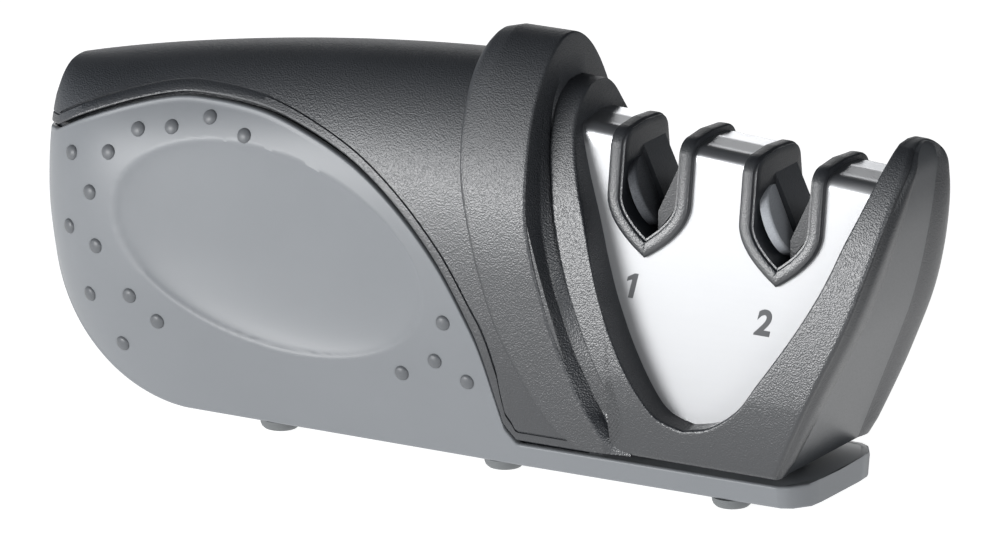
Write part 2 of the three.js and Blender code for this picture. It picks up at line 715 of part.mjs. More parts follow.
// Hub that carries the disc: spigot in its socket, flange behind it, capped sleeve on the pin
const hubFront = -discFace - runGap;
const hubBoreEnd = hubFront - hubCap;
function discHub({ place, look }) {
  const bore = pinRadius + runGap;
  const flangeFront = -discThick - runGap;
  const flangeBack = flangeFront - hubFlangeThick;
  const back = -discThick - hubLength;
  const profile = [
    [0, hubBoreEnd], [bore, hubBoreEnd], [bore, back], [hubSleeve, back], [hubSleeve, flangeBack],
    [hubFlange, flangeBack], [hubFlange, flangeFront], [hubSpigot, flangeFront], [hubSpigot, hubFront],
    [0, hubFront],
  ];
  return turned(profile, 12, place, look);
}

// Plain steel pin, pressed in the housing
function discPin({ place, look }) {
  const top = hubBoreEnd - runGap;
  const profile = [[0, -pinLength], [pinRadius, -pinLength], [pinRadius, top], [0, top]];
  return turned(profile, 12, place, look);
}

// Thrust washer between hub and housing
function thrustWasher({ place, look }) {
  const front = -discThick - hubLength - runGap;
  const bore = pinRadius + runGap;
  const profile = [
    [bore, front - washerThick], [washerRadius, front - washerThick], [washerRadius, front], [bore, front],
    [bore, front - washerThick],
  ];
  return turned(profile, 12, place, look);
}

// Rubber foot: hollow dome with a stem pushed through the floor
function foot(x, y) {
  const shoulder = baseZ - runGap;
  const top = baseZ + floorThick + runGap;
  const profile = [
    [0, footHollowDepth], [footHollow, footHollowDepth], [footHollow, 0], [footFlat, 0],
    [footRadius, footSideZ], [footRadius, shoulder], [footStem, shoulder], [footStem, top], [0, top],
  ];
  return turned(profile, 14, new THREE.Vector3(x, y, 0), up);
}

// Base screw: flat head with a cross recess, shank up into its boss
function baseScrew(x) {
  const headTop = baseZ + screwHeadThick;
  const profile = [
    [0, baseZ], [screwHead, baseZ], [screwHead, headTop], [screwShank, headTop],
    [screwShank, baseZ + screwLength], [0, baseZ + screwLength],
  ];
  let screw = turned(profile, 12, new THREE.Vector3(x, 0, 0), up);
  const arm = screwHead / 2;
  const [low, high] = [baseZ - overrun, baseZ + crossDepth];
  const blade = (length, width) => slab([
    [x - length, low], [x + length, low], [x + length, high], [x - length, high],
  ], -width, width);
  screw = screw.subtract(blade(arm, crossWidth / 2)).subtract(blade(crossWidth / 2, arm));
  return screw;
}

// Finishes
function finish(color, roughness, metalness) {
  return new THREE.MeshStandardMaterial({ color, roughness, metalness });
}
const greyPlastic = finish(0x9da2a7, 0.6, 0);
const darkPlastic = finish(0x26292d, 0.5, 0);
const brightSteel = finish(0xe6e8ea, 0.2, 1);
const housingPlastic = finish(0x1b1c1e, 0.6, 0);
const diamondCoat = finish(0x3d4146, 0.8, 0.2);
const ceramic = finish(0xb9bcc2, 0.6, 0);
const hubPlastic = finish(0x4a4d52, 0.5, 0);
const pinSteel = finish(0xb4b8bc, 0.3, 1);
const rubber = finish(0x55585c, 0.9, 0);

// Assembly, moved so that the origin is the middle of the length
const sharpener = new THREE.Group();
function place(name, shape, material) {
  const mesh = new THREE.Mesh(geometryOf(shape.translate([-middleX, 0, 0])), material);
  mesh.name = name;
  sharpener.add(mesh);
}
place('grip_shell', gripShell(), greyPlastic);
place('handle_cover', handleCover(), darkPlastic);
place('hood_collar', hoodCollar(), darkPlastic);
place('head_frame', headFrame(), darkPlastic);
place('disc_housing', discHousing(), housingPlastic);
place('saddle_plate', saddlePlate(), brightSteel);
const sideNames = new Map([[-1, 'front'], [1, 'rear']]);
for (const stage of [0, 1]) {
  place(`slot_guide_${stage + 1}`, slotGuide(stage), darkPlastic);
  for (const [side, sideName] of sideNames) {
    const seat = discSeat(stage, side);
    place(`disc_${stage + 1}_${sideName}`, abrasiveDisc(seat), stage === 0 ? diamondCoat : ceramic);
    place(`disc_hub_${stage + 1}_${sideName}`, discHub(seat), hubPlastic);
    place(`disc_pin_${stage + 1}_${sideName}`, discPin(seat), pinSteel);
    place(`disc_washer_${stage + 1}_${sideName}`, thrustWasher(seat), pinSteel);
  }
}
footXs.forEach((x, i) => {
  for (const [side, sideName] of sideNames) {
    place(`foot_${i + 1}_${sideName}`, foot(x, side * footY), rubber);
  }
});
[...screwXs, ...housingScrewXs].forEach((x, i) => place(`base_screw_${i + 1}`, baseScrew(x), pinSteel));

export default sharpener;
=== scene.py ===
# %% [markdown]
# # A two-stage knife sharpener
# The real object is a hand-held kitchen tool. A grey soft-touch tub and a dark grained cover
# make the handle, a raised hood joins it to the head, and the head holds a bright bent sheet
# with two knife slots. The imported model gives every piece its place. This scene dresses it
# with smooth surfaces, fine edges and finishes.

# %% Load the frame
import math

import bmesh
import bpy
import numpy as np
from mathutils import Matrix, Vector


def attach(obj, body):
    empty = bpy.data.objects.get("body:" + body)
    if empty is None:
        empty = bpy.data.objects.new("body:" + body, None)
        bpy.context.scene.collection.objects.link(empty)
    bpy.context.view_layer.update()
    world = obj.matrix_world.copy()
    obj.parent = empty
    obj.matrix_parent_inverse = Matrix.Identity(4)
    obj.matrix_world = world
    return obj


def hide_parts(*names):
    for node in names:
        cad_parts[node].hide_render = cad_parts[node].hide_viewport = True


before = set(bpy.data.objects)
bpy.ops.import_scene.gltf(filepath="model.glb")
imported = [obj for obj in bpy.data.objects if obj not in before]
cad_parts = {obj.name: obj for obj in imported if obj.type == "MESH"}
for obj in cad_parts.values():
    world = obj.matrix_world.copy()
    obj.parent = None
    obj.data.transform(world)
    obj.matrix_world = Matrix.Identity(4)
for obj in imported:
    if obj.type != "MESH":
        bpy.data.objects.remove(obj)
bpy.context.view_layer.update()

MM = 0.001
MIDDLE_X = 1.3

# %% [markdown]
# ## Camera
# A product photograph of a small object is taken from far away through a long lens, so that
# parallel edges stay nearly parallel. The camera looks down a little from the front right.

# %% Place the camera
SHOT_AZIMUTH = math.radians(30)
SHOT_ELEVATION = math.radians(17)
SHOT_WIDTH_MM = 208.3
SHOT_LENS_MM = 880
SHOT_SENSOR_MM = 36
SHOT_AIM_MM = (1.75, 0, 38.3)


def added(name, data):
    """An object made from its data and put in the scene."""
    made = bpy.data.objects.new(name, data)
    bpy.context.collection.objects.link(made)
    return made


def place_camera():
    """A long lens on the line from the aim point back towards the photographer."""
    data = bpy.data.cameras.new("shot_camera")
    data.lens, data.sensor_width = SHOT_LENS_MM, SHOT_SENSOR_MM
    flat = math.cos(SHOT_ELEVATION)
    back = Vector((math.sin(SHOT_AZIMUTH) * flat, -math.cos(SHOT_AZIMUTH) * flat, math.sin(SHOT_ELEVATION)))
    distance = SHOT_WIDTH_MM * MM * SHOT_LENS_MM / SHOT_SENSOR_MM
    camera = added("shot_camera", data)
    camera.location = Vector(SHOT_AIM_MM) * MM + back * distance
    camera.rotation_euler = (-back).to_track_quat("-Z", "Y").to_euler()
    data.clip_end = 4 * distance
    bpy.context.scene.camera = camera
    return distance


print("camera distance in m:", round(place_camera(), 2))

# %% [markdown]
# ## The handle's form
# The handle is one smooth body with a blunt nose at the rear, a swept-up foot there, and a
# gently arched crown. Its cross-section is narrow at the foot, full at the waist and round at
# the crown. Working the skin out as a formula lets the grey tub, the dark cover and the thumb
# dish share one surface, so that they line up like mouldings from one design.

# %% Formulas of the handle's skin
REAR_X, BODY_HALF, BASE_Z, WALL = -102, 22.6, 2.3, 2.0
NOSE_START_X, NOSE_BLUNTNESS = -70, 2.5
SWEEP_START_X, SWEEP_HEIGHT_Z, SWEEP_BLUNTNESS = -62, 44.4, 1.8
SHOULDER_X, CROWN_TOP_Z, CROWN_TOP_X, CROWN_RADIUS = -98.5, 86.3, 32, 526
BODY_TAPER, TAPER_START_X = 0.02, 20
BODY_SECTION = {"waist": 0.42, "foot": 0.79, "power": 2.6, "root": 2.2}


def section(share, waist, foot, power, root):
    """Share of the half width: a parabola from foot to waist, then a rounded power curve to the crown."""
    low = 1 - (1 - foot) * (1 - np.clip(share / waist, 0, 1)) ** 2
    rise = np.clip((share - waist) / (1 - waist), 0, 1)
    high = (1 - rise ** power) ** (1 / root)
    return np.where(share <= waist, low, high)


def plan_half(x):
    """Half width in plan: constant with a slight taper, closed at the rear by a blunt oval."""
    share = np.clip((NOSE_START_X - x) / (NOSE_START_X - REAR_X), 0, 1)
    nose = (1 - share ** NOSE_BLUNTNESS) ** (1 / NOSE_BLUNTNESS)
    return (BODY_HALF - BODY_TAPER * np.maximum(x - TAPER_START_X, 0)) * nose


def foot_z(x):
    """Lowest line: flat, then swept up to the rear along a blunt quarter oval."""
    share = np.clip((SWEEP_START_X - x) / (SWEEP_START_X - REAR_X), 0, 1)
    rise = SWEEP_HEIGHT_Z - BASE_Z
    return SWEEP_HEIGHT_Z - rise * (1 - share ** SWEEP_BLUNTNESS) ** (1 / SWEEP_BLUNTNESS)


def crown_z(x):
    """Highest line: a long arc, and a steep straight shoulder down to the rear tip."""
    arc = CROWN_TOP_Z - (CROWN_TOP_X - np.maximum(x, SHOULDER_X)) ** 2 / (2 * CROWN_RADIUS)
    share = np.clip((x - REAR_X) / (SHOULDER_X - REAR_X), 0, 1)
    return SWEEP_HEIGHT_Z + (arc - SWEEP_HEIGHT_Z) * share


def skin_y(x, z):
    """Half width of the skin at a point of the side view."""
    low, high = foot_z(x), crown_z(x)
    share = np.clip((z - low) / np.maximum(high - low, 1e-6), 0, 1)
    return plan_half(x) * section(share, **BODY_SECTION)


def through(points, steps):
    """Smooth curve through given points: cubics whose slopes are half the neighbours' chord."""
    p = np.asarray(points, float)
    t = np.linspace(0, len(p) - 1, steps)
    i = np.minimum(t.astype(int), len(p) - 2)
    u = (t - i)[:, None]
    a, b, c, d = p[np.maximum(i - 1, 0)], p[i], p[i + 1], p[np.minimum(i + 2, len(p) - 1)]
    slope_b, slope_c = (c - a) / 2, (d - b) / 2
    return (
        b + slope_b * u + (3 * (c - b) - 2 * slope_b - slope_c) * u ** 2
        + (2 * (b - c) + slope_b + slope_c) * u ** 3
    )


def evenly(curve, count):
    """The same curve with its points at equal distances along it."""
    steps = np.linalg.norm(np.diff(curve, axis=0), axis=1)
    along = np.concatenate([[0], np.cumsum(steps)])
    wanted = np.linspace(0, along[-1], count)
    return np.stack([np.interp(wanted, along, curve[:, k]) for k in range(curve.shape[1])], axis=1)


def chained(*curves):
    """Curves joined end to end, with each shared point kept once."""
    return np.concatenate([curves[0], *(curve[1:] for curve in curves[1:])])


def bend(a, b, c, t):
    """The quadratic curve from a to c that is drawn towards b, at a share t of its way."""
    return a * (1 - t) ** 2 + b * 2 * t * (1 - t) + c * t ** 2


def rounded(a, b, c, count):
    """A rounded corner, as a list of points."""
    return [bend(a, b, c, s) for s in np.linspace(0, 1, count)]


print("half width at the waist in mm:", round(float(skin_y(-30, 38)), 2))

# %% [markdown]
# ## From grids to meshes
# A shape here is a grid of points, worked out as whole arrays. The grid's cells become quads,
# the points that fall together at seams and poles are merged, and the faces are turned
# outwards. The drawing's own zero is moved to the middle of the length. A regular grid keeps the
# flow of the surface even, which shows in the highlights.

# %% Mesh makers
MERGE_M, CREASE = 2e-6, math.radians(38)
REAR_SIDE = np.array([1, -1, 1])
SIDES = ((-1, "front"), (1, "rear"))


def mesh_of(name, grids):
    """Quads between neighbouring points of each grid, merged where points coincide."""
    corners, faces, base = [], [], 0
    for grid in grids:
        rows, cols = grid.shape[:2]
        index = np.arange(rows * cols).reshape(rows, cols) + base
        quads = [index[:-1, :-1], index[1:, :-1], index[1:, 1:], index[:-1, 1:]]
        faces.append(np.stack(quads, axis=-1).reshape(-1, 4))
        corners.append(grid.reshape(-1, 3))
        base += rows * cols
    points, quads = (np.concatenate(corners) - (MIDDLE_X, 0, 0)) * MM, np.concatenate(faces)
    mesh = bpy.data.meshes.new(name)
    mesh.from_pydata(points.tolist(), [], quads.tolist())
    work = bmesh.new()
    work.from_mesh(mesh)
    bmesh.ops.remove_doubles(work, verts=work.verts, dist=MERGE_M)
    bmesh.ops.dissolve_degenerate(work, edges=work.edges, dist=MERGE_M / 2)
    bmesh.ops.recalc_face_normals(work, faces=work.faces)
    work.to_mesh(mesh)
    work.free()
    return mesh


def piece(name, grids, finish, stands_for=(), body="shell"):
    """A named object that rides on a body, and may stand for CAD nodes."""
    mesh = mesh_of(name, grids)
    mesh.shade_smooth()
    mesh.set_sharp_from_angle(angle=CREASE)
    mesh.materials.append(finish)
    made = added(name, mesh)
    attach(made, body)
    if stands_for:
        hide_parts(*stands_for)
    print(name, len(mesh.polygons), "faces")
    return made


def both_sides(front):
    """The front half, and the same rows mirrored behind the middle plane, as one grid."""
    return np.concatenate([front, front[::-1] * REAR_SIDE])


def grid_of(x, y, z):
    """Coordinates of equal or matching shape, stacked as a row or a grid of points."""
    return np.stack(np.broadcast_arrays(x, y, z), axis=-1).astype(float)


def unit(vectors):
    """The same directions with a length of one."""
    return vectors / np.linalg.norm(vectors, axis=-1, keepdims=True)


# %% [markdown]
# ## Finishes
# The looks are built as node trees. A small class holds a socket, so that the shader maths can
# be written as plain expressions, and one method adds any other node.

# %% Shader helpers
class Flow:
    """One output socket of a node tree. Sums, differences and products add Math nodes."""

    def __init__(self, tree, socket):
        self.tree, self.socket = tree, socket

    def node(self, kind, settings=None, out=0, **values):
        """A node of one kind, its settings first, then its input values or links by name."""
        made = self.tree.nodes.new(kind)
        for key, value in (settings or {}).items():
            setattr(made, key, value)
        for key, value in values.items():
            target = made.inputs[int(key[1:])] if key[0] == "i" and key[1:].isdigit() else made.inputs[key]
            self.plug(target, value)
        return Flow(self.tree, made.outputs[out])

    def plug(self, target, value):
        """A plain value, or a link from another node, put into an input."""
        if isinstance(value, Flow):
            self.tree.links.new(value.socket, target)
        else:
            target.default_value = value

    def parts(self):
        """The X, Y and Z of a place."""
        made = self.tree.nodes.new("ShaderNodeSeparateXYZ")
        self.plug(made.inputs[0], self)
        return [Flow(self.tree, socket) for socket in made.outputs]

    def maths(self, operation, other, flipped=False):
        """One Math node on this value and another, in either order."""
        first, second = (other, self) if flipped else (self, other)
        return self.node("ShaderNodeMath", {"operation": operation}, i0=first, i1=second)

    def __add__(self, other):
        return self.maths("ADD", other)

    def __sub__(self, other):
        return self.maths("SUBTRACT", other)

    def __mul__(self, other):
        return self.maths("MULTIPLY", other)

    def __rsub__(self, other):
        return self.maths("SUBTRACT", other, True)

    __radd__, __rmul__ = __add__, __mul__

    def between(self, low, high):
        """0 below low, 1 above high, smooth in between."""
        settings = {"interpolation_type": "SMOOTHSTEP"}
        return self.node("ShaderNodeMapRange", settings, i0=self, i1=low, i2=high, i3=0.0, i4=1.0)

    def blend(self, dark, light):
        """A colour between two colours or links, by this value."""
        dark, light = (end if isinstance(end, Flow) else (*end, 1) for end in (dark, light))
        return self.node("ShaderNodeMix", {"data_type": "RGBA"}, out=2, i0=self, i6=dark, i7=light)


def new_finish(name):
    """An empty material with its shader, and the start of its node tree."""
    material = bpy.data.materials.new(name)
    material.use_nodes = True
    tree = material.node_tree
    shader = tree.nodes["Principled BSDF"]
    place = tree.nodes.new("ShaderNodeTexCoord")
    return material, shader, Flow(tree, place.outputs["Object"])


def noise(place, scale, detail=2.0, rough=0.5):
    """Soft cloudy noise, at a scale in bumps per metre."""
    return place.node("ShaderNodeTexNoise", out=0, Vector=place, Scale=scale, Detail=detail, Roughness=rough)


def feed(place, shader, **values):
    """Values or links for the shader's inputs."""
    for key, value in values.items():
        place.plug(shader.inputs[key.replace("_", " ")], value)


def relief(place, shader, height, depth_mm):
    """Small hills and valleys that only the light sees."""
    bump = place.node("ShaderNodeBump", Height=height, Distance=depth_mm * MM, Strength=1.0)
    feed(place, shader, Normal=bump)


def ray_kinds(tree, *kinds):
    """For each kind of ray, 1 where a ray is of that kind."""
    rays = tree.nodes.new("ShaderNodeLightPath")
    return [Flow(tree, rays.outputs[f"Is {kind} Ray"]) for kind in kinds]


# %% [markdown]
# ### Plastic finishes
# The grey tub is a soft-touch moulding, nearly even, with a very fine tooth. The dark mouldings
# are charcoal with a leather-like grain: cells with rounded walls over a finer tooth. The flat
# middle of the end wall is the same plastic, left satin by the mould, so it has no grain; its paler
# tint there is a painted reflection of the grey that it mirrors.

# %% Make the plastics
GREY_PALE, GREY_DEEP = (0.195, 0.206, 0.220), (0.181, 0.192, 0.205)
DOT_PALE, DOT_DEEP = (0.115, 0.122, 0.131), (0.098, 0.104, 0.112)
CHARCOAL_PALE, CHARCOAL_DEEP = (0.018, 0.0205, 0.025), (0.010, 0.0118, 0.0148)
# SATIN_PALE is the hubs' own colour; on the end wall's flat middle it is a painted reflection.
SATIN_PALE, SATIN_DEEP = (0.036, 0.040, 0.045), (0.027, 0.030, 0.035)
FINE_TOOTH, GRAIN_CELLS, CLOUDS = 5200.0, 2900.0, 60.0
SOFT_TOUCH = (0.36, 0.05, 0.006, CLOUDS, 0.45)
GRAIN_TOOTH, CELL_HEIGHT, TOOTH_HEIGHT, CELL_ROUGHNESS = FINE_TOOTH * 0.4, 0.8, 0.4, 0.10
MATT_FROM_Z, MATT_TO_Z, MATT_ROUGHNESS = 58, 80, 0.22
CREASE_FOOT, CREASE_SLOPE, CREASE_BLUR = 16.2, 0.155, 0.2
PANEL_FROM_X, PANEL_TO_X, PANEL_LEAN = 72.5, 73.5, 0.33


def even_plastic(name, pale, deep, rough, swing=0.08, tooth_mm=0.003, scale=CLOUDS * 2, specular=0.5):
    """Plain plastic: cloudy tint, faint tooth, broad sheen."""
    material, shader, place = new_finish(name)
    clouds = noise(place, scale)
    feed(place, shader, Base_Color=clouds.blend(deep, pale), Roughness=clouds * swing + rough)
    feed(place, shader, Specular_IOR_Level=specular)
    relief(place, shader, noise(place, FINE_TOOTH), tooth_mm)
    return material


def grained_dark(name, pale, deep, depth_mm, rough, plain=None):
    """Leather-grained plastic, rounded cells over a fine tooth. A mask, if given, smooths it out and paints a
    paler tint there as painted reflection.
    """
    material, shader, place = new_finish(name)
    soft = {"feature": "SMOOTH_F1"}
    cells = place.node("ShaderNodeTexVoronoi", soft, out=0, Vector=place, Scale=GRAIN_CELLS, Smoothness=0.5)
    height = cells * CELL_HEIGHT + noise(place, GRAIN_TOOTH) * TOOTH_HEIGHT
    matt_top = place.parts()[2].between(MATT_FROM_Z * MM, MATT_TO_Z * MM)
    roughness = cells * CELL_ROUGHNESS + matt_top * MATT_ROUGHNESS + rough
    tint = noise(place, CLOUDS).blend(deep, pale)
    if plain:
        # On the end panel the grain is smoothed out, and a paler satin tint is painted in as painted
        # reflection.
        smooth = plain(place)
        height = height * (1.0 - smooth)
        tint = smooth.blend(tint, SATIN_PALE)
    feed(place, shader, Base_Color=tint, Roughness=roughness, Specular_IOR_Level=1.0)
    relief(place, shader, height, depth_mm)
    return material


def end_panel_satin_and_sheen(place):
    """Mask of the end wall's flat middle, past a leaning line and between the two creases: satin there, with
    a paler tint painted in as reflection.
    """
    x, y, z = place.parts()
    inside = z * -CREASE_SLOPE + CREASE_FOOT * MM - y.maths("ABSOLUTE", 0.0)
    past = (x - z * PANEL_LEAN).between(PANEL_FROM_X * MM, PANEL_TO_X * MM)
    return inside.between(-CREASE_BLUR * MM, CREASE_BLUR * MM) * past


grey_plastic = even_plastic("grey_plastic", GREY_PALE, GREY_DEEP, *SOFT_TOUCH)
dot_plastic = even_plastic("dot_plastic", DOT_PALE, DOT_DEEP, *SOFT_TOUCH)
dark_plastic = grained_dark("dark_plastic", CHARCOAL_PALE, CHARCOAL_DEEP, 0.085, 0.31)
frame_plastic = grained_dark("frame_plastic", CHARCOAL_PALE, CHARCOAL_DEEP, 0.085, 0.31, end_panel_satin_and_sheen)
guide_plastic = grained_dark("guide_plastic", CHARCOAL_PALE, CHARCOAL_DEEP, 0.05, 0.3)
housing_plastic = even_plastic("housing_plastic", CHARCOAL_DEEP, (0.012, 0.013, 0.016), 0.4)
hub_plastic = even_plastic("hub_plastic", SATIN_PALE, SATIN_DEEP, 0.35)
foot_rubber = even_plastic("foot_rubber", (0.16, 0.17, 0.175), (0.12, 0.127, 0.13), 0.6)
digit_ink = even_plastic("digit_ink", (0.115, 0.118, 0.124), (0.10, 0.102, 0.108), 0.7)

# %% [markdown]
# ### Metal and abrasive finishes
# The saddle plate is a satin sheet. It mirrors the pale room in front and the darker ceiling at
# its bend, so it needs a smooth metal with only faint brushing. The first pair of discs has
# dark grit, the second a pale fired one.

# %% Make the metals and the grits
SHINE_FROM_Z, SHINE_TO_Z = 70.5, 72.5
BRUSH_SCALE, GRIT_CELLS = (60.0, 2500.0, 2500.0), 3800.0


def satin_metal(name, tint, rough, brush_mm, shine=(1.0, 1.0)):
    """Metal with faint lines along X: noise squeezed across them. It may shine more near its top."""
    material, shader, place = new_finish(name)
    near_top = place.parts()[2].between(SHINE_FROM_Z * MM, SHINE_TO_Z * MM)
    feed(place, shader, Metallic=near_top * (shine[1] - shine[0]) + shine[0])
    stretched = place.node("ShaderNodeMapping", out=0, Vector=place, Scale=BRUSH_SCALE)
    lines = noise(stretched, 1.0, 3.0)
    pale = tuple(min(1.0, channel * 1.03) for channel in tint)
    feed(place, shader, Base_Color=lines.blend(tint, pale), Roughness=lines * 0.08 + rough)
    relief(place, shader, lines, brush_mm)
    return material


def grit(name, pale, deep, shine, depth_mm):
    """Abrasive face: sharp little cells, brighter at their tips."""
    material, shader, place = new_finish(name)
    cells = place.node("ShaderNodeTexVoronoi", out=0, Vector=place, Scale=GRIT_CELLS)
    feed(place, shader, Base_Color=cells.blend(pale, deep), Roughness=cells * 0.2 + 0.5, Metallic=shine)
    relief(place, shader, cells, depth_mm)
    return material


plate_metal = satin_metal("plate_metal", (0.385, 0.39, 0.40), 0.26, 0.0003, (0.3, 0.9))
pin_steel = satin_metal("pin_steel", (0.62, 0.64, 0.66), 0.25, 0.002)
dark_grit = grit("dark_grit", (0.075, 0.08, 0.09), (0.035, 0.038, 0.043), 0.3, 0.02)
pale_grit = grit("pale_grit", (0.40, 0.42, 0.45), (0.30, 0.315, 0.34), 0.0, 0.008)
print("finishes:", len(bpy.data.materials))

# %% [markdown]
# ## The grey tub
# The tub is the lower shell of the handle. Its upper edge is the parting line, which arches over
# the thumb dish and falls steeply to a low strip that runs on under the head. Each column of the
# grid is a cross-section, from the inner wall over a rounded lip down the side and across the
# floor. The dish is pressed into the same grid, so its edge stays crisp and its hollow smooth.

# %% Build the grip shell
PARTING = [
    (-95.5, 57.6), (-87.4, 61.8), (-76, 66.4), (-65.3, 69.4), (-56, 70.1), (-47.2, 69.9), (-41, 69.1),
    (-34.5, 67.5), (-27, 65), (-19.8, 61.7), (-12.5, 56.9), (-5.3, 50.6), (1.6, 42.6), (8.3, 31.8),
    (11.4, 24.8), (14.1, 15.7), (15.4, 10.4),
]
PARTING_GAP, STRIP_TOP_Z, STRIP_START_X, STRIP_END_X = 0.8, 7.4, 18, 79.6
DISH_X, DISH_Z, DISH_HALF_LENGTH, DISH_HALF_HEIGHT = -40.2, 41.2, 37.6, 21
DISH_LEAN, DISH_DEPTH, DISH_BLUNTNESS = -4.4, 3.9, 0.72
LIP_ROUND, FOOT_ROUND, LID_START_X, LID_SINK = 0.6, 1.2, 34.0, 0.05
TIP_CLOSED, TIP_CROWDING, TIP_SHARES = 3.5, 2.2, (0, 1e-5, 1e-4, 1e-3, 1e-2, 0.1, 0.4)
STRIP_NOSE = ((0.0, 1.0), (2.2, 0.93), (4.6, 0.72), (4.9, 0.5), (4.9, 0.0))

parting_curve = np.concatenate([
    [(REAR_X - 3, PARTING[0][1] - PARTING_GAP)], through(PARTING, 400),
    [(STRIP_START_X, STRIP_TOP_Z), (STRIP_END_X + 3, STRIP_TOP_Z)],
])


def parting_z(x):
    """Height of the tub's upper edge."""
    return np.interp(x, parting_curve[:, 0], parting_curve[:, 1])


def dish(x, z):
    """Depth of the thumb dish: a blunt bowl inside a leaning oval, nothing outside it."""
    along = (x - DISH_X) / DISH_HALF_LENGTH
    across = (z - DISH_Z - DISH_LEAN * along) / DISH_HALF_HEIGHT
    return DISH_DEPTH * np.clip(1 - along ** 2 - across ** 2, 0, 1) ** DISH_BLUNTNESS


def grip_grid():
    """Columns run from the rear tip to the strip's end, rows from the front lip to the rear lip.

    The tip needs very close columns, and its top stays closed until the cover rises over it.
    """
    shares = np.linspace(0, 1, 52)[1:] ** TIP_CROWDING
    shares = np.concatenate([shares[0] * np.array(TIP_SHARES), shares])
    nose = REAR_X + (NOSE_START_X - REAR_X) * shares
    x = np.concatenate([nose, np.linspace(NOSE_START_X, STRIP_END_X, 250)[1:]])
    top = np.minimum(parting_z(x), crown_z(x))
    low = foot_z(x)
    lip = np.clip(skin_y(x, top - LIP_ROUND) / (3 * WALL), 0, 1)
    round_z = np.minimum(LIP_ROUND * lip, (top - low) / 4)
    foot = np.minimum(FOOT_ROUND, (top - low) / 4)
    outer = skin_y(x, top - round_z)
    open_top = np.clip(crown_z(x) - parting_z(x) - TIP_CLOSED, 0, 1)
    inner = (outer - WALL * lip) * open_top
    rows = [(inner, top - 3 * round_z), (inner, top - round_z)]
    rows += list(zip(
        rounded(inner, inner, inner + round_z, 4) + rounded(outer - round_z, outer, outer, 5),
        rounded(top - round_z, top, top, 4) + rounded(top, top, top - round_z, 5),
    ))
    for share in np.linspace(0, 1, 96)[1:]:
        z = top - round_z + (low + foot - top + round_z) * share
        rows.append((skin_y(x, z) - dish(x, z), z))
    edge = skin_y(x, low + foot)
    rows += list(zip(rounded(edge, edge, edge - foot, 6)[1:], rounded(low + foot, low, low, 6)[1:]))
    rows += [((edge - foot) * share, low) for share in (0.66, 0.33, 0)]
    y = np.maximum(np.array([row[0] for row in rows]), 0)
    z = np.array([row[1] + 0 * x for row in rows])
    grid = grid_of(x, -y, z)
    end = grid[:, -1:].copy()
    ends = [grid]
    for lead, share in STRIP_NOSE:
        turned_in = end * np.array([1, share, 1]) + np.array([lead, 0, 0])
        turned_in[:4, :, 1] *= 0.0 if lead else 1.0
        ends.append(turned_in)
    return both_sides(np.concatenate(ends, axis=1))


def strip_lid():
    """A flat lid that closes the strip below the head, from the cover's tip to the strip's end."""
    x = np.array([LID_START_X, *np.linspace(LID_START_X, STRIP_END_X, 30), STRIP_END_X + STRIP_NOSE[-1][0]])
    half = skin_y(x, np.full(x.shape, STRIP_TOP_Z)) - LIP_ROUND
    half[0] = 0
    half[-1] *= STRIP_NOSE[-2][1]
    across = np.linspace(-1, 1, 9)[:, None]
    return grid_of(x, half * across, STRIP_TOP_Z - LID_SINK)


piece("grip_shell_skin", [grip_grid(), strip_lid()], grey_plastic, ["grip_shell"])

# %% [markdown]
# ### Grip dots
# Seventeen low domes stand round the dish on each side. A dome is a lens: each one is a small
# polar grid, tipped so that it sits square on the skin.

# %% Build the grip dots
DOT_RADIUS, DOT_HEIGHT, DOT_SINK, SLOPE_STEP = 1.65, 0.75, 0.5, 0.2
DOT_PLACES = [
    (-89.8, 54.3), (-79.9, 56.3), (-73.5, 61.9), (-65.5, 63.5), (-56.7, 66.7), (-47.6, 64.4), (-83.9, 47.2),
    (-89.8, 38.5), (-82.1, 35.9), (-84.4, 24.7), (-73.7, 26.4), (-67.1, 21.7), (-76.5, 15), (2.3, 32.2),
    (0, 23.4), (-8.2, 19.4), (7.5, 19.9),
]


def dot_grid(x, z, side):
    """A dome: radius shrinks with the cosine and height grows with the sine of one angle."""
    step = SLOPE_STEP
    place = np.array([x, side * skin_y(x, z), z])
    slope_x = (skin_y(x + step, z) - skin_y(x - step, z)) / (2 * step)
    slope_z = (skin_y(x, z + step) - skin_y(x, z - step)) / (2 * step)
    out = unit(np.array([-slope_x, side, -slope_z]))
    across = unit(np.cross(out, (0, 0, 1)))
    upward = np.cross(across, out)
    turn = np.linspace(0, 2 * np.pi, 21)[None, :]
    climb = np.concatenate([[0], np.linspace(0, 1, 6)])[:, None] * np.pi / 2
    lift = (DOT_HEIGHT * np.sin(climb) - np.concatenate([[DOT_SINK], np.zeros(6)])[:, None])[..., None]
    reach = (DOT_RADIUS * np.cos(climb))[..., None]
    circle = across * np.cos(turn)[..., None] + upward * np.sin(turn)[..., None]
    return place + reach * circle + lift * out


dots = [dot_grid(x, z, side) for side in (-1, 1) for x, z in DOT_PLACES]
piece("grip_dots", dots, dot_plastic)

# %% [markdown]
# ## The dark cover
# The cover closes the handle from above. It starts a hair above the parting line with a lip that
# a fine groove sets off, and it ends under the hood. The rows lean towards the hood at the front,
# so that the grid's last column follows the hood's slanting seam.

# %% Build the handle cover
COVER_LIP, GROOVE_WIDTH, GROOVE_DEPTH, COVER_CROWDING, THIN_ROOM = 1.9, 0.5, 0.4, 1.35, 12
COVER_END_LOW, COVER_END_HIGH, TONGUE_DROP = 37.0, 12.0, 2.6


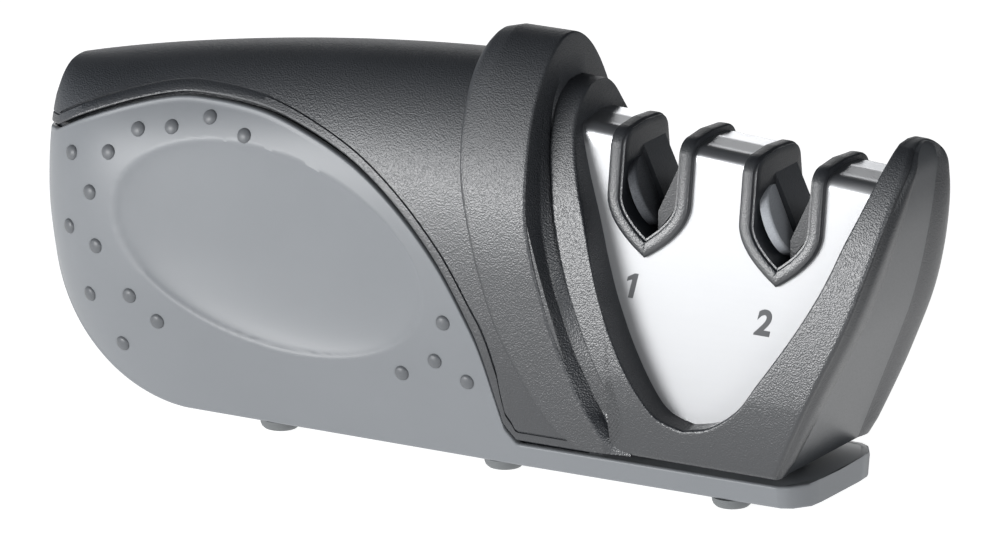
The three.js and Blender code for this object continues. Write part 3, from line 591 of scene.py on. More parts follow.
def cover_grid():
    """Columns from the rear nose to under the hood, rows from the inner lip up to the crown."""
    share = (PARTING[0][1] + PARTING_GAP - SWEEP_HEIGHT_Z) / (crown_z(SHOULDER_X) - SWEEP_HEIGHT_Z)
    start = REAR_X + (SHOULDER_X - REAR_X) * share
    along = np.linspace(0, 1, 260) ** COVER_CROWDING
    groove = [COVER_LIP + GROOVE_WIDTH * share for share in (0.3, 0.7, 1)]
    edge_steps = [0, COVER_LIP * 0.5, COVER_LIP, *groove]
    drops = [0, 0, 0, GROOVE_DEPTH, GROOVE_DEPTH, 0]
    climbs = 1 - (1 - np.linspace(0, 1, 72)) ** 2
    rows = []

    def add(climb, step, drop, lift=0.0):
        """One row: its share of the climb, its step up from the seam, and its drop below the skin."""
        x = start + (COVER_END_LOW + (COVER_END_HIGH - COVER_END_LOW) * climb - start) * along
        slope = np.gradient(parting_z(x), x)
        low = np.minimum(parting_z(x) + PARTING_GAP, crown_z(x))
        room = crown_z(x) - low
        stretch = np.minimum(np.sqrt(1 + slope ** 2), 4)
        foot = np.minimum(step * stretch + lift, room)
        z = low + foot + (room - foot) * climb
        thin = np.clip(room / THIN_ROOM, 0, 1)
        rows.append(grid_of(x, -np.maximum(skin_y(x, z) - drop * thin, 0), z))

    for drop in (TONGUE_DROP, 0):
        x = start + (COVER_END_LOW - start) * along
        z = np.minimum(parting_z(x) + PARTING_GAP, crown_z(x)) - drop
        rows.append(grid_of(x, -np.maximum(skin_y(x, z) - WALL - PARTING_GAP, 0), z))
    for turn in np.linspace(0, 1, 5) * math.pi / 2:
        add(0, 0, LIP_ROUND * (1 - math.sin(turn)), LIP_ROUND * (1 - math.cos(turn)))
    for step, drop in zip(edge_steps[1:], drops[1:]):
        add(0, step, drop)
    for climb in climbs[1:]:
        add(climb, edge_steps[-1], 0)
    return both_sides(np.array(rows))


piece("handle_cover_skin", [cover_grid()], dark_plastic, ["handle_cover"])

# %% [markdown]
# ## The hood
# The hood is a band that stands proud of handle and head. Its rear edge follows a slanting seam
# and its front edge is a ridge, from which a steep wall falls into a groove beside the head. Across
# the band the grid has a rounded seam edge, the skin, the rounded ridge and the groove.

# %% Build the hood
HOOD_TOP_Z, HOOD_HALF, HOOD_FOOT_Z = 92, 22.9, 9.5
HOOD_SECTION = {"waist": 0.42, "foot": 0.95, "power": 2, "root": 1.9}
HOOD_CROWN = [(-3, 7.5), (1.5, 4), (4, 1.2), (8, 0.1), (18, 0), (60, 0)]
HOOD_CROWN_WIDTH, RIDGE_ROUND, GROOVE_SINK, RIM_TUCK = 0.2, 0.6, 2.6, 0.8
SEAM_ROUND, SEAM_LIP, SEAM_DEPTH, BAND_MARGIN = 0.9, 0.7, 3.0, 2.2
GROOVE_NEAR_SHARE, GROOVE_FAR_SHARE, GROOVE_TURN_SHARE = 0.34, 0.86, 0.06
GROOVE_RISE_LOW, GROOVE_RISE_HIGH = 10, 6
HOOD_SEAM = [
    (2, 95), (2.4, 86), (3.1, 79.3), (4.6, 66.9), (6.3, 59.3), (10.7, 44.1), (14.3, 34), (17.7, 27.6),
    (23, 19.4), (27.4, 14.1), (31.7, 10.8), (35, 9.5),
]
HOOD_RIDGE = [
    (39.6, 9.5), (40.3, 12), (35.7, 18.4), (32.3, 24.8), (28.2, 33.6), (25.4, 42), (23.3, 49.6), (21.5, 58),
    (20.5, 70.5), (20, 80), (20, 95),
]
HOOD_RIM = [
    (40.5, 9.5), (45.4, 15.1), (42.3, 20.2), (37.4, 28.7), (33.1, 37), (29.9, 44), (27, 51.7), (25.1, 57.8),
    (23.5, 64.5), (21.7, 71.8), (20.6, 80), (20.6, 95),
]
FRAME_HALF, FRAME_TOP_Z, FRAME_END_TOP_Z, FRAME_START_X, FRAME_END_X = 22, 83, 81, 18, 104.6
FRAME_SECTION = {"waist": 0.3, "foot": 0.87, "power": 1.3, "root": 2.45}


def x_at(curve, z):
    """X of a smooth curve, read off at given heights."""
    line = through(curve, 300)
    order = np.argsort(line[:, 1])
    return np.interp(z, line[order, 1], line[order, 0])


def frame_crown(x):
    """The head frame's crown falls a little towards the end wall."""
    return FRAME_TOP_Z - (FRAME_TOP_Z - FRAME_END_TOP_Z) * (x - FRAME_START_X) / (FRAME_END_X - FRAME_START_X)


def frame_skin(x, z):
    """Half width of the head frame."""
    return FRAME_HALF * section((z - BASE_Z) / (frame_crown(x) - BASE_Z), **FRAME_SECTION)


def hood_point(x, share, inset):
    """A point of the hood's skin, at a place along it and a share of its height."""
    fall = np.interp(x, *np.transpose(HOOD_CROWN))
    z = HOOD_FOOT_Z + (HOOD_TOP_Z - fall - inset - HOOD_FOOT_Z) * share
    y = (HOOD_HALF - HOOD_CROWN_WIDTH * fall - inset) * section(share, **HOOD_SECTION)
    return grid_of(x, -y, z)


def hood_grid():
    """Rows climb from the tip over the crown, columns cross the band from the seam to the rim."""
    lower = np.linspace(0, HOOD_SECTION["waist"], 46)
    upper = HOOD_SECTION["waist"] + (1 - HOOD_SECTION["waist"]) * np.sin(np.linspace(0, np.pi / 2, 60)[1:])
    share = np.concatenate([lower, upper])
    level = HOOD_FOOT_Z + (HOOD_TOP_Z - HOOD_FOOT_Z) * share
    seam = x_at(HOOD_SEAM, level)
    ridge = x_at(HOOD_RIDGE[1:], level)
    rim_z = HOOD_FOOT_Z + (FRAME_TOP_Z - 0.2 - HOOD_FOOT_Z) * share
    rim_x = x_at(HOOD_RIM[1:], rim_z)
    rim = grid_of(rim_x, -frame_skin(rim_x, rim_z), rim_z)
    seam_in, seam_lip, seam_edge = (hood_point(seam, share, inset) for inset in (SEAM_DEPTH, SEAM_LIP, 0))
    seam_on = hood_point(seam + SEAM_ROUND, share, 0)
    ridge_on, ridge_edge = (hood_point(x, share, 0) for x in (ridge - RIDGE_ROUND, ridge))
    wall = rim - ridge_edge
    fade = np.clip(GROOVE_RISE_HIGH * (1 - share), 0, 1) * np.clip(GROOVE_RISE_LOW * share, 0, 1)
    sunk = grid_of(0, GROOVE_SINK * fade, 0)
    groove_near = ridge_edge + wall * GROOVE_NEAR_SHARE + sunk
    groove_far = ridge_edge + wall * GROOVE_FAR_SHARE + sunk
    down = groove_near - ridge_edge
    depth = np.linalg.norm(down, axis=1, keepdims=True)
    ridge_off = ridge_edge + down * np.minimum(RIDGE_ROUND / depth, 0.45)
    rim_in = rim + sunk + np.array([RIM_TUCK, 0, 0])
    columns = [seam_in, *rounded(seam_lip, seam_edge, seam_on, 6)]
    for s in np.linspace(0, 1, 26)[1:-1]:
        columns.append(hood_point(seam + SEAM_ROUND + (ridge - seam - BAND_MARGIN) * s, share, 0))
    columns += rounded(ridge_on, ridge_edge, ridge_off, 7)
    columns += [ridge_off + (groove_near - ridge_off) * s for s in (0.5, 0.9)]
    turn = wall * GROOVE_TURN_SHARE
    columns += rounded(groove_near, groove_near + turn, groove_near + turn * 2, 3)
    columns += [groove_far, rim_in]
    grid = np.stack(columns, axis=1)
    grid[..., 1] = np.minimum(grid[..., 1], 0)
    grid[-1, :, 1] = 0
    foot = grid[:1] * np.array([1, 0.8, 1])
    return both_sides(np.concatenate([foot, grid]))


piece("hood_skin", [hood_grid()], dark_plastic, ["hood_collar"])

# %% [markdown]
# ## The head frame
# The frame is a tall rounded block with a deep recess for the metal sheet. Each row of its grid
# runs from the recess floor up the recess wall, over a rounded rim, across the skin to the outer
# edge and back to the middle plane. The rows follow the recess round from the arch at the hood to
# the apex of the end wall.

# %% Build the head frame
PLATE_RIDGE_Z, PLATE_RIDGE_X, RIDGE_FALL = 76.2, 30.8, 0.049
PLATE_FOOT_HALF, PLATE_LEAN, PLATE_TOP_HALF, PLATE_BEND_DROP = 17.2, 0.14196, 4.8, 3.3
PLATE_CROWN_DROP, FRAME_FOOT_Z = 0.5, 9.5
RIM_ROUND, EDGE_ROUND, RECESS_ROUND, RECESS_BEHIND, RECESS_TOP = 0.8, 1.3, 0.9, 1.2, 8
FACET_FROM_X, FACET_BULGE, FACET_BLEND = 79.0, 1.0, 3
RECESS_LEFT = [
    (26.6, 83.5), (26.7, 80), (27.2, 75), (29.8, 66), (33, 57), (36.3, 47), (39.3, 39.5), (43.5, 31.2),
    (48.3, 23.8), (52.8, 19.2), (58.8, 17.3),
]
RECESS_RIGHT = [
    (58.8, 17.3), (65.4, 19), (72, 23.8), (76.2, 29.6), (80, 35), (84.2, 41.4), (88.1, 48.2), (91, 54.3),
    (93.6, 61.2), (96, 67.2), (98, 72.9), (99.4, 78), (99.9, 81.6),
]
OUTER_LEFT = [
    (20.4, 84), (20.8, 80), (21.9, 71.8), (23.6, 64.5), (25.2, 57.8), (27.1, 51.7), (30, 44), (33.2, 37),
    (37.5, 28.7), (42.4, 20.2), (45.2, 15.4), (43.8, 12.2), (41.5, 9.6),
]
OUTER_FOOT_LEFT = [(41.5, 9.5), (58.8, 9.5)]
OUTER_FOOT_RIGHT = [(58.8, 9.5), (80.4, 9.5)]
END_EDGE = [
    (80.4, 9.5), (91.2, 32.6), (95.8, 42.9), (99.2, 52.9), (102.2, 64), (103.9, 72), (104.6, 77), (103, 81.4),
]


def plate_half(x, z):
    """Half width of the plate's flat sides, which lean inwards."""
    return PLATE_FOOT_HALF - PLATE_LEAN * (z - FRAME_FOOT_Z)


def ridge_z(x):
    """Ridge line of the plate."""
    return PLATE_RIDGE_Z - RIDGE_FALL * (x - PLATE_RIDGE_X)


def frame_rows():
    """Matching points of the recess edge and of the outer edge, from arch to apex."""
    inner = chained(evenly(through(RECESS_LEFT, 400), 150), evenly(through(RECESS_RIGHT, 400), 170))
    foot_left, foot_right = np.array(OUTER_FOOT_LEFT), np.array(OUTER_FOOT_RIGHT)
    return inner, chained(
        evenly(through(OUTER_LEFT, 200), 95), evenly(foot_left, 56),
        evenly(foot_right, 50), evenly(through(END_EDGE, 300), 121),
    )


def on_frame(place):
    """Points of the side view laid on the frame's skin."""
    x, z = place[:, 0], np.minimum(place[:, 1], frame_crown(place[:, 0]))
    return grid_of(x, -np.maximum(frame_skin(x, z), 0), z)


def frame_grid():
    """One row for each matching pair: floor, wall, rim, skin, outer edge, middle."""
    inner, outer = frame_rows()
    x, z = inner[:, 0], np.minimum(inner[:, 1], frame_crown(inner[:, 0]))
    skin = frame_skin(x, z)
    bent = z > ridge_z(x) - PLATE_BEND_DROP
    floor_y = np.where(bent, PLATE_TOP_HALF * 0.8, plate_half(x, z)) - RECESS_BEHIND
    floor_y = np.minimum(floor_y, skin * 0.9)
    floor = grid_of(x, -floor_y, np.minimum(z, ridge_z(x) + RECESS_TOP))
    rim = on_frame(inner)
    middle_floor = floor * np.array([1, 0, 1])
    gapped = outer - inner
    length = np.linalg.norm(gapped, axis=1, keepdims=True)
    wall_length = np.maximum(np.linalg.norm(floor - rim, axis=1, keepdims=True), 1e-3)
    rim_wall = rim + (floor - rim) * np.minimum(RECESS_ROUND / wall_length, 0.5)
    rim_share, edge_share = np.minimum(RIM_ROUND / length, 0.3), np.minimum(EDGE_ROUND / length, 0.3)
    rim_skin = on_frame(inner + gapped * rim_share)
    edge_skin = on_frame(outer - gapped * edge_share)
    edge = on_frame(outer)
    edge_off = edge + grid_of(0, np.minimum(EDGE_ROUND, -edge[:, 1]), 0)
    columns = [middle_floor, floor]
    columns += [floor + (rim_wall - floor) * s for s in (0.35, 0.7)]
    columns += rounded(rim_wall, rim, rim_skin, 6)
    columns += [
        on_frame(inner + gapped * (rim_share * (1 - s) + (1 - edge_share) * s))
        for s in np.linspace(0, 1, 26)[1:-1]
    ]
    columns += rounded(edge_skin, edge, edge_off, 7)
    crease = np.minimum(CREASE_FOOT - CREASE_SLOPE * edge_off[:, 2], -edge_off[:, 1] * 0.8)
    at_end = np.clip((edge_off[:, 0] - FACET_FROM_X) / FACET_BLEND, 0, 1)
    for s in np.linspace(0, 1, 9)[1:]:
        across = edge_off.copy()
        across[:, 1] = edge_off[:, 1] * (1 - s) - crease * s
        across[:, 0] += FACET_BULGE * at_end * math.sin(math.pi * s ** 0.7)
        columns.append(across)
    panel = columns[-1]
    columns += [panel * np.array([1, s, 1]) for s in (0.98, 0.7, 0.4, 0)]
    grid = np.stack(columns, axis=1)
    for row in (0, -1):
        grid[row, :, 1] = 0
    return grid


frame_front = frame_grid()
frame_grids = [frame_front, frame_front * REAR_SIDE]
piece("head_frame_skin", frame_grids, frame_plastic, ["head_frame"])

# %% [markdown]
# ## The saddle plate
# One bright sheet is bent over the head: a flat crown, a soft bend and two flat sides. The knife
# slots are left out of the sheet where the guides cover its edge, so the cut never shows.

# %% Build the saddle plate
SLOT_XS = (44.6, 76)
GUIDE_HALF, GUIDE_INNER, GUIDE_DEPTH, GUIDE_FLOOR, GUIDE_STRAIGHT = 9.7, 6.3, 25.5, 4.7, 13.2
CUT_INSET, CUT_SHORTER, SHEET = 1.6, 2.4, 0.8
SIDE_ROWS, BEND_ROWS, CROWN_ROWS = 90, 14, 9
PLATE_ROWS = SIDE_ROWS + BEND_ROWS + CROWN_ROWS
PLATE_FOOT_Z, PLATE_TUCK, PLATE_CROWDING = 16.6, 0.4, 1.3


def plate_section(x, level):
    """Half width and height at one level of the section: a straight side, a bend and a low crown."""
    top = ridge_z(x)
    bend_z = top - PLATE_BEND_DROP
    bend_y = plate_half(x, bend_z)
    flat_z = top - PLATE_CROWN_DROP
    if level < SIDE_ROWS:
        share = (level / SIDE_ROWS) ** PLATE_CROWDING
        z = PLATE_FOOT_Z + (bend_z - PLATE_FOOT_Z) * share
        return plate_half(x, z), z
    if level < SIDE_ROWS + BEND_ROWS:
        s = (level - SIDE_ROWS) / BEND_ROWS
        corner_y = bend_y - PLATE_LEAN * PLATE_BEND_DROP
        return bend(bend_y, corner_y, PLATE_TOP_HALF, s), bend(bend_z, flat_z, flat_z, s)
    s = (level - SIDE_ROWS - BEND_ROWS) / (CROWN_ROWS - 1)
    return PLATE_TOP_HALF * (1 - s) + 0 * x, flat_z + (top - flat_z) * s


def plate_profile(x):
    """The whole half section at one place along the plate, from foot to ridge."""
    return np.array([plate_section(x, level) for level in range(PLATE_ROWS)])


def tulip_half(depth, half, length):
    """Half width of the tulip at a depth below the ridge: straight, then closing to a point."""
    t = np.clip((depth - GUIDE_STRAIGHT) / (length - GUIDE_STRAIGHT), 0, 1)
    return half * (1 - t ** 2)


def plate_grids():
    """Left, middle and right of the slots as one grid whose cells inside the slots are left out."""
    left, right = through(RECESS_LEFT, 300), through(RECESS_RIGHT, 300)
    across = np.linspace(0, 1, 190)
    rows = []
    for level in range(PLATE_ROWS):
        x = np.full(across.shape, RECESS_LEFT[-1][0])
        for _ in range(3):
            profile = plate_section(x, level)
            start = np.interp(profile[1], left[::-1, 1], left[::-1, 0])
            end = np.interp(profile[1], right[:, 1], right[:, 0])
            x = start - PLATE_TUCK + (end - start + 2 * PLATE_TUCK) * across
        y, z = plate_section(x, level)
        rows.append(grid_of(x, -y, z))
    return np.array(rows)


def sheet_with_slots(name, grid, finish):
    """The plate as a sheet, its cells inside each tulip dropped, with a thin wall added."""
    mesh = mesh_of(name, [grid])
    work = bmesh.new()
    work.from_mesh(mesh)
    centres = np.array([face.calc_center_median()[:] for face in work.faces]) / MM + (MIDDLE_X, 0, 0)
    depth = ridge_z(centres[:, 0]) - centres[:, 2]
    inside = np.zeros(len(centres), bool)
    for x in SLOT_XS:
        half = tulip_half(depth, GUIDE_HALF - CUT_INSET, GUIDE_DEPTH - CUT_SHORTER)
        inside |= np.abs(centres[:, 0] - x) < half
    work.faces.ensure_lookup_table()
    bmesh.ops.delete(work, geom=[face for face, cut in zip(work.faces, inside) if cut], context="FACES")
    work.to_mesh(mesh)
    work.free()
    mesh.shade_smooth()
    mesh.materials.append(finish)
    made = added(name, mesh)
    wall = made.modifiers.new("wall", "SOLIDIFY")
    wall.thickness, wall.offset = SHEET * MM, -1
    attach(made, "shell")
    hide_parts("saddle_plate")
    print(name, len(mesh.polygons), "faces")


sheet_with_slots("saddle_plate_skin", both_sides(plate_grids()), plate_metal)

# %% [markdown]
# ### The digits
# The two stages are numbered on the front of the plate. The digits are thin printed marks: the 2
# is a text and the 1 a drawn outline with a flag. Each becomes a mesh with a hair's thickness and
# is laid on the leaning side.

# %% Print the digits
DIGITS = (("1", 41.8, 43.7), ("2", 73.1, 40.6))
DIGIT_FONT_SIZE = 5.4 * 1.38
DIGIT_THICKNESS, DIGIT_BOLD, DIGIT_SHEAR = 0.03, 0.26, 0.2
ONE_CORNERS = ((0, 0), (1.2, 0), (2.2, 5.3), (1.3, 5.3), (-0.35, 4.35), (-0.5, 3.4), (0.75, 3.9))


def digit_curve(text):
    """The flat outline of a digit: the 2 from the font, the 1 drawn with a flag at its top."""
    if text == "1":
        curve = bpy.data.curves.new("digit_1", "CURVE")
        curve.dimensions, curve.fill_mode, curve.extrude = "2D", "BOTH", DIGIT_THICKNESS
        line = curve.splines.new("POLY")
        line.points.add(len(ONE_CORNERS) - 1)
        corners = np.column_stack([ONE_CORNERS, np.zeros(len(ONE_CORNERS)), np.ones(len(ONE_CORNERS))])
        line.points.foreach_set("co", corners.ravel())
        line.use_cyclic_u = True
        return curve
    curve = bpy.data.curves.new("digit_" + text, "FONT")
    curve.body, curve.size, curve.align_x, curve.align_y = text, DIGIT_FONT_SIZE, "CENTER", "CENTER"
    curve.extrude, curve.offset, curve.shear = DIGIT_THICKNESS, DIGIT_BOLD, DIGIT_SHEAR
    return curve


def print_digit(text, x, z):
    """A flat digit, made a mesh, then tipped on to the plate's leaning front."""
    source = bpy.data.objects.new("digit_source", digit_curve(text))
    mesh = bpy.data.meshes.new_from_object(source)
    bpy.data.objects.remove(source)
    flat = np.empty(len(mesh.vertices) * 3)
    mesh.vertices.foreach_get("co", flat)
    flat = flat.reshape(-1, 3)
    flat[:, :2] -= (flat[:, :2].max(axis=0) + flat[:, :2].min(axis=0)) / 2
    lean = math.atan(PLATE_LEAN)
    out = np.array([0, -math.cos(lean), math.sin(lean)])
    upward = np.array([0, math.sin(lean), math.cos(lean)])
    base = np.array([x, -plate_half(x, z), z])
    placed = base + flat[:, :1] * np.array([1, 0, 0]) + flat[:, 1:2] * upward + flat[:, 2:] * out
    mesh.vertices.foreach_set("co", ((placed - (MIDDLE_X, 0, 0)) * MM).ravel())
    mesh.materials.clear()
    mesh.materials.append(digit_ink)
    made = added("digit_" + text, mesh)
    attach(made, "shell")


for digit in DIGITS:
    print_digit(*digit)
print("digits printed:", len(DIGITS))

# %% [markdown]
# ## The slot guides
# A dark guide lines each slot. Its rim stands proud of the sheet and follows the slot over the
# ridge and down both sides to a pointed foot. The rim is a small profile carried along that
# path, square to the sheet, and the inner wall runs straight through from front to rear.

# %% Build the slot guides
RIM_PROFILE = [
    (0, -1.2), (0, 0.9), (0.15, 1.2), (0.5, 1.4), (1.4, 1.45), (2.3, 1.4), (2.6, 1.3), (2.75, 1.05),
    (2.9, 0.8), (3.3, 0.75), (3.4, 0.5), (3.4, -0.9),
]
CROWN_PROUD_SHARE = 0.45
WEDGE_TOP, WEDGE_FOOT, WEDGE_FOOT_HALF, WEDGE_FAR_Y, WEDGE_NEAR_Y = 4.5, 16.5, 0.6, 7.5, 1.6


def guide_path(x0):
    """Path of the rim's outer edge from the ridge down the left side to the point, in X, Y, Z."""
    top = ridge_z(x0)
    turn_z, point_z = top - GUIDE_STRAIGHT, top - GUIDE_DEPTH
    profile = plate_profile(x0)[::-1]
    straight = profile[profile[:, 1] > turn_z]
    down = grid_of(x0 - GUIDE_HALF, -straight[:, 0], straight[:, 1])
    corners = np.array([(x0 - GUIDE_HALF, turn_z), (x0 - GUIDE_HALF, (turn_z + point_z) / 2), (x0, point_z)])
    bow = bend(*corners, np.linspace(0, 1, 26)[1:, None])
    curve = grid_of(bow[:, 0], -plate_half(bow[:, 0], bow[:, 1]), bow[:, 1])
    return evenly(np.concatenate([down, curve]), 110)


def guide_grid(x0):
    """The rim's profile carried along the path; b runs towards the slot, h stands off the sheet."""
    left = guide_path(x0)
    tangent = unit(np.gradient(left, axis=0))
    depth = ridge_z(left[:, 0]) - left[:, 2]
    side = math.pi / 2 - math.atan(PLATE_LEAN)
    tilt = np.where(depth < GUIDE_STRAIGHT - 1, np.arctan2(-tangent[:, 2], -tangent[:, 1]), side)
    normal = grid_of(0, -np.sin(tilt), np.cos(tilt))
    inward = unit(np.cross(tangent, normal))
    inward *= np.sign(inward[:1, :1] + 1e-9)
    proud = CROWN_PROUD_SHARE + (1 - CROWN_PROUD_SHARE) * np.clip(depth / PLATE_BEND_DROP, 0, 1)
    columns = []
    for b, h in RIM_PROFILE:
        point = left + inward * b + normal * (h * proud if h > 0 else h + 0 * proud)[:, None]
        point[:, 0] = np.minimum(point[:, 0], x0)
        point[0, 1] = 0
        columns.append(point)
    wall = columns[-1]
    columns += [wall * np.array([1, s, 1]) for s in (0.75, 0.5, 0.25, 0)]
    half = np.stack(columns, axis=1)
    right = half[::-1] * np.array([-1, 1, 1]) + np.array([2 * x0, 0, 0])
    front = np.concatenate([half, right])
    return [front, front * REAR_SIDE]


def block(corners_xz, near_y, far_y):
    """A plain prism with the given outline in X and Z, closed by fans to its middle."""
    outline = np.array(corners_xz + corners_xz[:1], float)
    middle = outline[:-1].mean(axis=0)
    rows = []
    for y, shrink in ((near_y, 0), (near_y, 1), (far_y, 1), (far_y, 0)):
        flat = middle + (outline - middle) * shrink
        rows.append(grid_of(flat[:, 0], y, flat[:, 1]))
    return np.array(rows)


def wedges(x0):
    """The sloped blocks beside the discs, the rear one on the left and the front one on the right."""
    top = ridge_z(x0)
    made = []
    for side in (-1, 1):
        outline = [
            (x0 + side * GUIDE_INNER, top - WEDGE_TOP), (x0 + side * WEDGE_FOOT_HALF, top - WEDGE_FOOT),
            (x0 + side * WEDGE_FOOT_HALF, top - GUIDE_DEPTH + GUIDE_FLOOR),
            (x0 + side * GUIDE_INNER, top - GUIDE_STRAIGHT),
        ]
        made.append(block(outline, side * WEDGE_NEAR_Y, -side * WEDGE_FAR_Y))
    return made


for stage, slot_x in enumerate(SLOT_XS, 1):
    grids = guide_grid(slot_x) + wedges(slot_x)
    piece(f"slot_guide_{stage}_skin", grids, guide_plastic, [f"slot_guide_{stage}"])

# %% [markdown]
# ## The discs
# Two discs cross in each slot. Every one is a turned shape: a profile of radius and height spun
# round its own axis. The disc's working edge is broken by a small round.

# %% Build the discs
DISC_RADIUS, DISC_THICK, DISC_DROP, DISC_SIDE, DISC_STAND_OFF, DISC_SOCKET = 7.7, 2.2, 13.5, 2.4, 3.3, 3.4
DISC_TILT, DISC_YAW = math.radians(23.5), math.radians(12)


def turned_grid(profile, place, look, around=72):
    """A profile of radius and height spun round an axis through a place."""
    look = unit(np.array(look, float))
    across = unit(np.cross(look, (0.3, 0.9, 0.1)))
    other = np.cross(look, across)
    turn = np.linspace(0, 2 * np.pi, around + 1)[None, :, None]
    radius, height = np.array(profile, float).T[..., None, None]
    return np.asarray(place, float) + radius * (across * np.cos(turn) + other * np.sin(turn)) + height * look


def disc_seat(x0, side):
    """Centre of a disc's face and the way that it looks."""
    place = (x0 + side * DISC_STAND_OFF, side * DISC_SIDE, ridge_z(x0) - DISC_DROP)
    return place, (-side, -side * math.tan(DISC_YAW), math.tan(DISC_TILT))


DISC_PROFILE = [
    (0, -0.9), (DISC_SOCKET, -0.9), (DISC_SOCKET, -DISC_THICK), (DISC_RADIUS - 0.2, -DISC_THICK),
    (DISC_RADIUS, -DISC_THICK + 0.2), (DISC_RADIUS, -0.5), (DISC_RADIUS - 0.1, -0.2), (DISC_RADIUS - 0.35, 0),
    (DISC_RADIUS - 0.8, 0), (0, 0),
]
for stage, slot_x in enumerate(SLOT_XS, 1):
    grit_finish, grit_slot = ((dark_grit, "diamond_coat"), (pale_grit, "pale_ceramic"))[stage - 1]
    for side, side_name in SIDES:
        name = f"disc_{stage}_{side_name}"
        seat = disc_seat(slot_x, side)
        piece(name + "_grit", [turned_grid(DISC_PROFILE, *seat)], grit_finish, [name],
              f"wheel_{stage}_{side_name}")

# %% [markdown]
# ### Feet
# Six rubber feet lift the base. Each is a low dome with a hollow middle.

# %% Build the feet
FOOT_XS, FOOT_Y, FOOT_RADIUS = (-42.4, 11.7, 66.1), 13, 4.3
FOOT_PROFILE = [
    (0, 1.3), (1.5, 1.3), (1.9, 1.0), (2.05, 0.2), (2.3, 0), (2.9, 0), (3.5, 0.2), (4.0, 0.7), (4.25, 1.3),
    (FOOT_RADIUS, 2.0), (FOOT_RADIUS, 2.2), (2.0, 2.25), (2.0, 4.9), (0, 4.9),
]
for number, foot_x in enumerate(FOOT_XS, 1):
    for side, side_name in SIDES:
        name = f"foot_{number}_{side_name}"
        grids = [turned_grid(FOOT_PROFILE, (foot_x, side * FOOT_Y, 0), (0, 0, 1), 48)]
        piece(name + "_dome", grids, foot_rubber, [name])

# %% [markdown]
# ## Pieces that stay as the CAD made them
# The inner housing, hubs, pins, washers and screws already have their right shape. They keep it,
# and get a finish.

# %% Dress the carried-over nodes
KEPT = {"disc_housing": housing_plastic, "disc_hub": hub_plastic, "disc_pin": pin_steel,
        "disc_washer": pin_steel, "base_screw": pin_steel}
dressed = 0
for name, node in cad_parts.items():
    for start, finish in KEPT.items():
        if name.startswith(start):
            node.data.materials.clear()
            node.data.materials.append(finish)
            dressed += 1
print("nodes dressed:", dressed)

# %% [markdown]
# ## Stage and light
# The ground is pure white. The floor takes a soft shadow and looks white to the camera. The world
# is a pale room with a darker ceiling. Four soft lamps, three in front and one behind, give the
# dark plastic its sheen.

# %% Set the stage
FLOOR_HALF_MM, FLOOR_GLOW, FLOOR_TINT, FLOOR_BOUNCE = 6000, 0.88, 0.62, 1.0
FLOOR_DIM_FROM_X, FLOOR_DIM_TO_X, FLOOR_DIM = 130, 220, 0.9
ROOM_SOFT, ROOM_HORIZON, ROOM_CEILING = (0.22, 0.225, 0.23), (0.80, 0.85, 0.92), (0.045, 0.05, 0.058)
CEILING_RISE, REAR_FROM, RIGHT_FROM, REAR_DIM, RIGHT_DIM = (0.18, 0.56), (0.15, 0.55), (0.84, 0.95), 0.6, 0.85
LAMPS = (
    ("key_front_left", (-440, -790, 200), (0, 0, 45), (480, 220), 6.2),
    ("table_card", (-227, -436, 3), (-227, -436, 100), (320, 528), 0.6),
    ("right_low", (560, -520, 60), (60, 0, 15), (300, 100), 1.0),
    ("wall_behind", (-574, 994, 360), (30, 0, 72), (300, 560), 1.5),
)


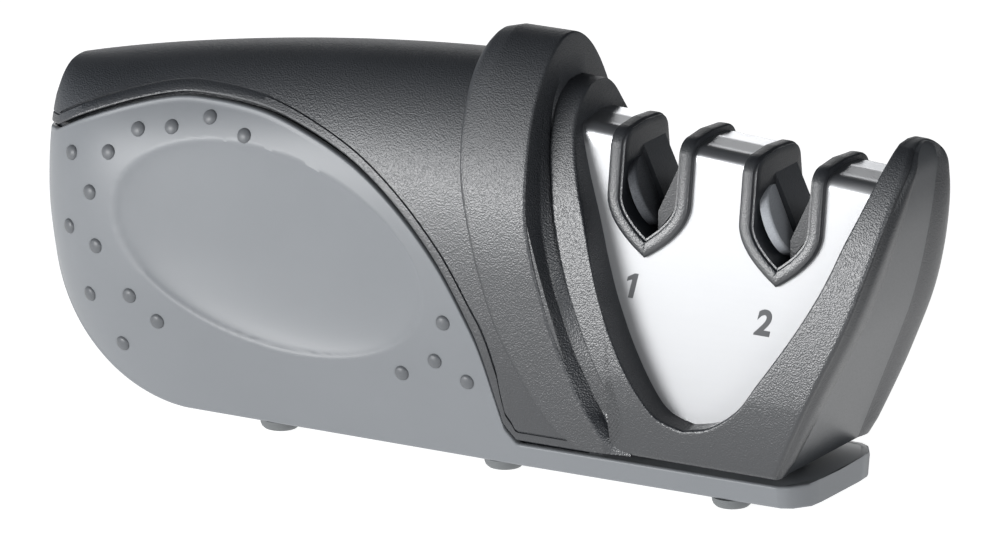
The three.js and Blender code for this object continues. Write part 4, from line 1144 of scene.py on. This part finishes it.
def make_floor():
    """A wide plane that glows, so that only the shadow shows. Reflections see it dimmed at the right."""
    mesh = bpy.data.meshes.new("floor")
    s = FLOOR_HALF_MM * MM
    mesh.from_pydata([(-s, -s, 0), (s, -s, 0), (s, s, 0), (-s, s, 0)], [], [(0, 1, 2, 3)])
    material, shader, place = new_finish("floor_white")
    camera, glossy, spread = ray_kinds(place.tree, "Camera", "Glossy", "Diffuse")
    right = place.parts()[0].between(FLOOR_DIM_FROM_X * MM, FLOOR_DIM_TO_X * MM)
    seen = camera + glossy * (right * -FLOOR_DIM + 1.0) + spread * FLOOR_BOUNCE
    tint = (FLOOR_TINT, FLOOR_TINT, FLOOR_TINT, 1)
    feed(place, shader, Base_Color=tint, Roughness=1.0, Specular_IOR_Level=0.0)
    feed(place, shader, Emission_Color=seen * FLOOR_GLOW, Emission_Strength=1.0)
    mesh.materials.append(material)
    floor = added("floor", mesh)


def make_world():
    """White to the camera. Reflections see a pale horizon, a dark ceiling, a dimmer rear and right."""
    world = bpy.data.worlds.new("pale_room")
    bpy.context.scene.world = world
    world.use_nodes = True
    tree = world.node_tree
    tree.nodes.clear()
    place = Flow(tree, tree.nodes.new("ShaderNodeTexCoord").outputs["Generated"])
    across, depth, height = place.parts()
    room = height.between(*CEILING_RISE).blend(ROOM_HORIZON, ROOM_CEILING)
    behind = depth.between(*REAR_FROM) * -REAR_DIM + 1.0
    dimmed = behind * (across.between(*RIGHT_FROM) * -RIGHT_DIM + 1.0)
    room = place.node("ShaderNodeVectorMath", {"operation": "SCALE"}, Vector=room, Scale=dimmed)
    camera, spread = ray_kinds(tree, "Camera", "Diffuse")
    shown = camera.blend(spread.blend(room, ROOM_SOFT), (1, 1, 1))
    out = tree.nodes.new("ShaderNodeOutputWorld")
    place.plug(out.inputs[0], place.node("ShaderNodeBackground", Color=shown))


def lamp(name, place_mm, aim_mm, size_mm, watts):
    """A large soft rectangle of light that looks at a point."""
    data = bpy.data.lights.new(name, "AREA")
    data.shape, data.size, data.size_y, data.energy = "RECTANGLE", size_mm[0] * MM, size_mm[1] * MM, watts
    made = added(name, data)
    made.location = Vector(place_mm) * MM
    made.rotation_euler = (Vector(aim_mm) - Vector(place_mm)).to_track_quat("-Z", "Y").to_euler()
    made.visible_camera = False


make_floor()
make_world()
for settings in LAMPS:
    lamp(*settings)
bpy.context.scene.view_settings.view_transform = "Standard"
print("lamps:", len(LAMPS))
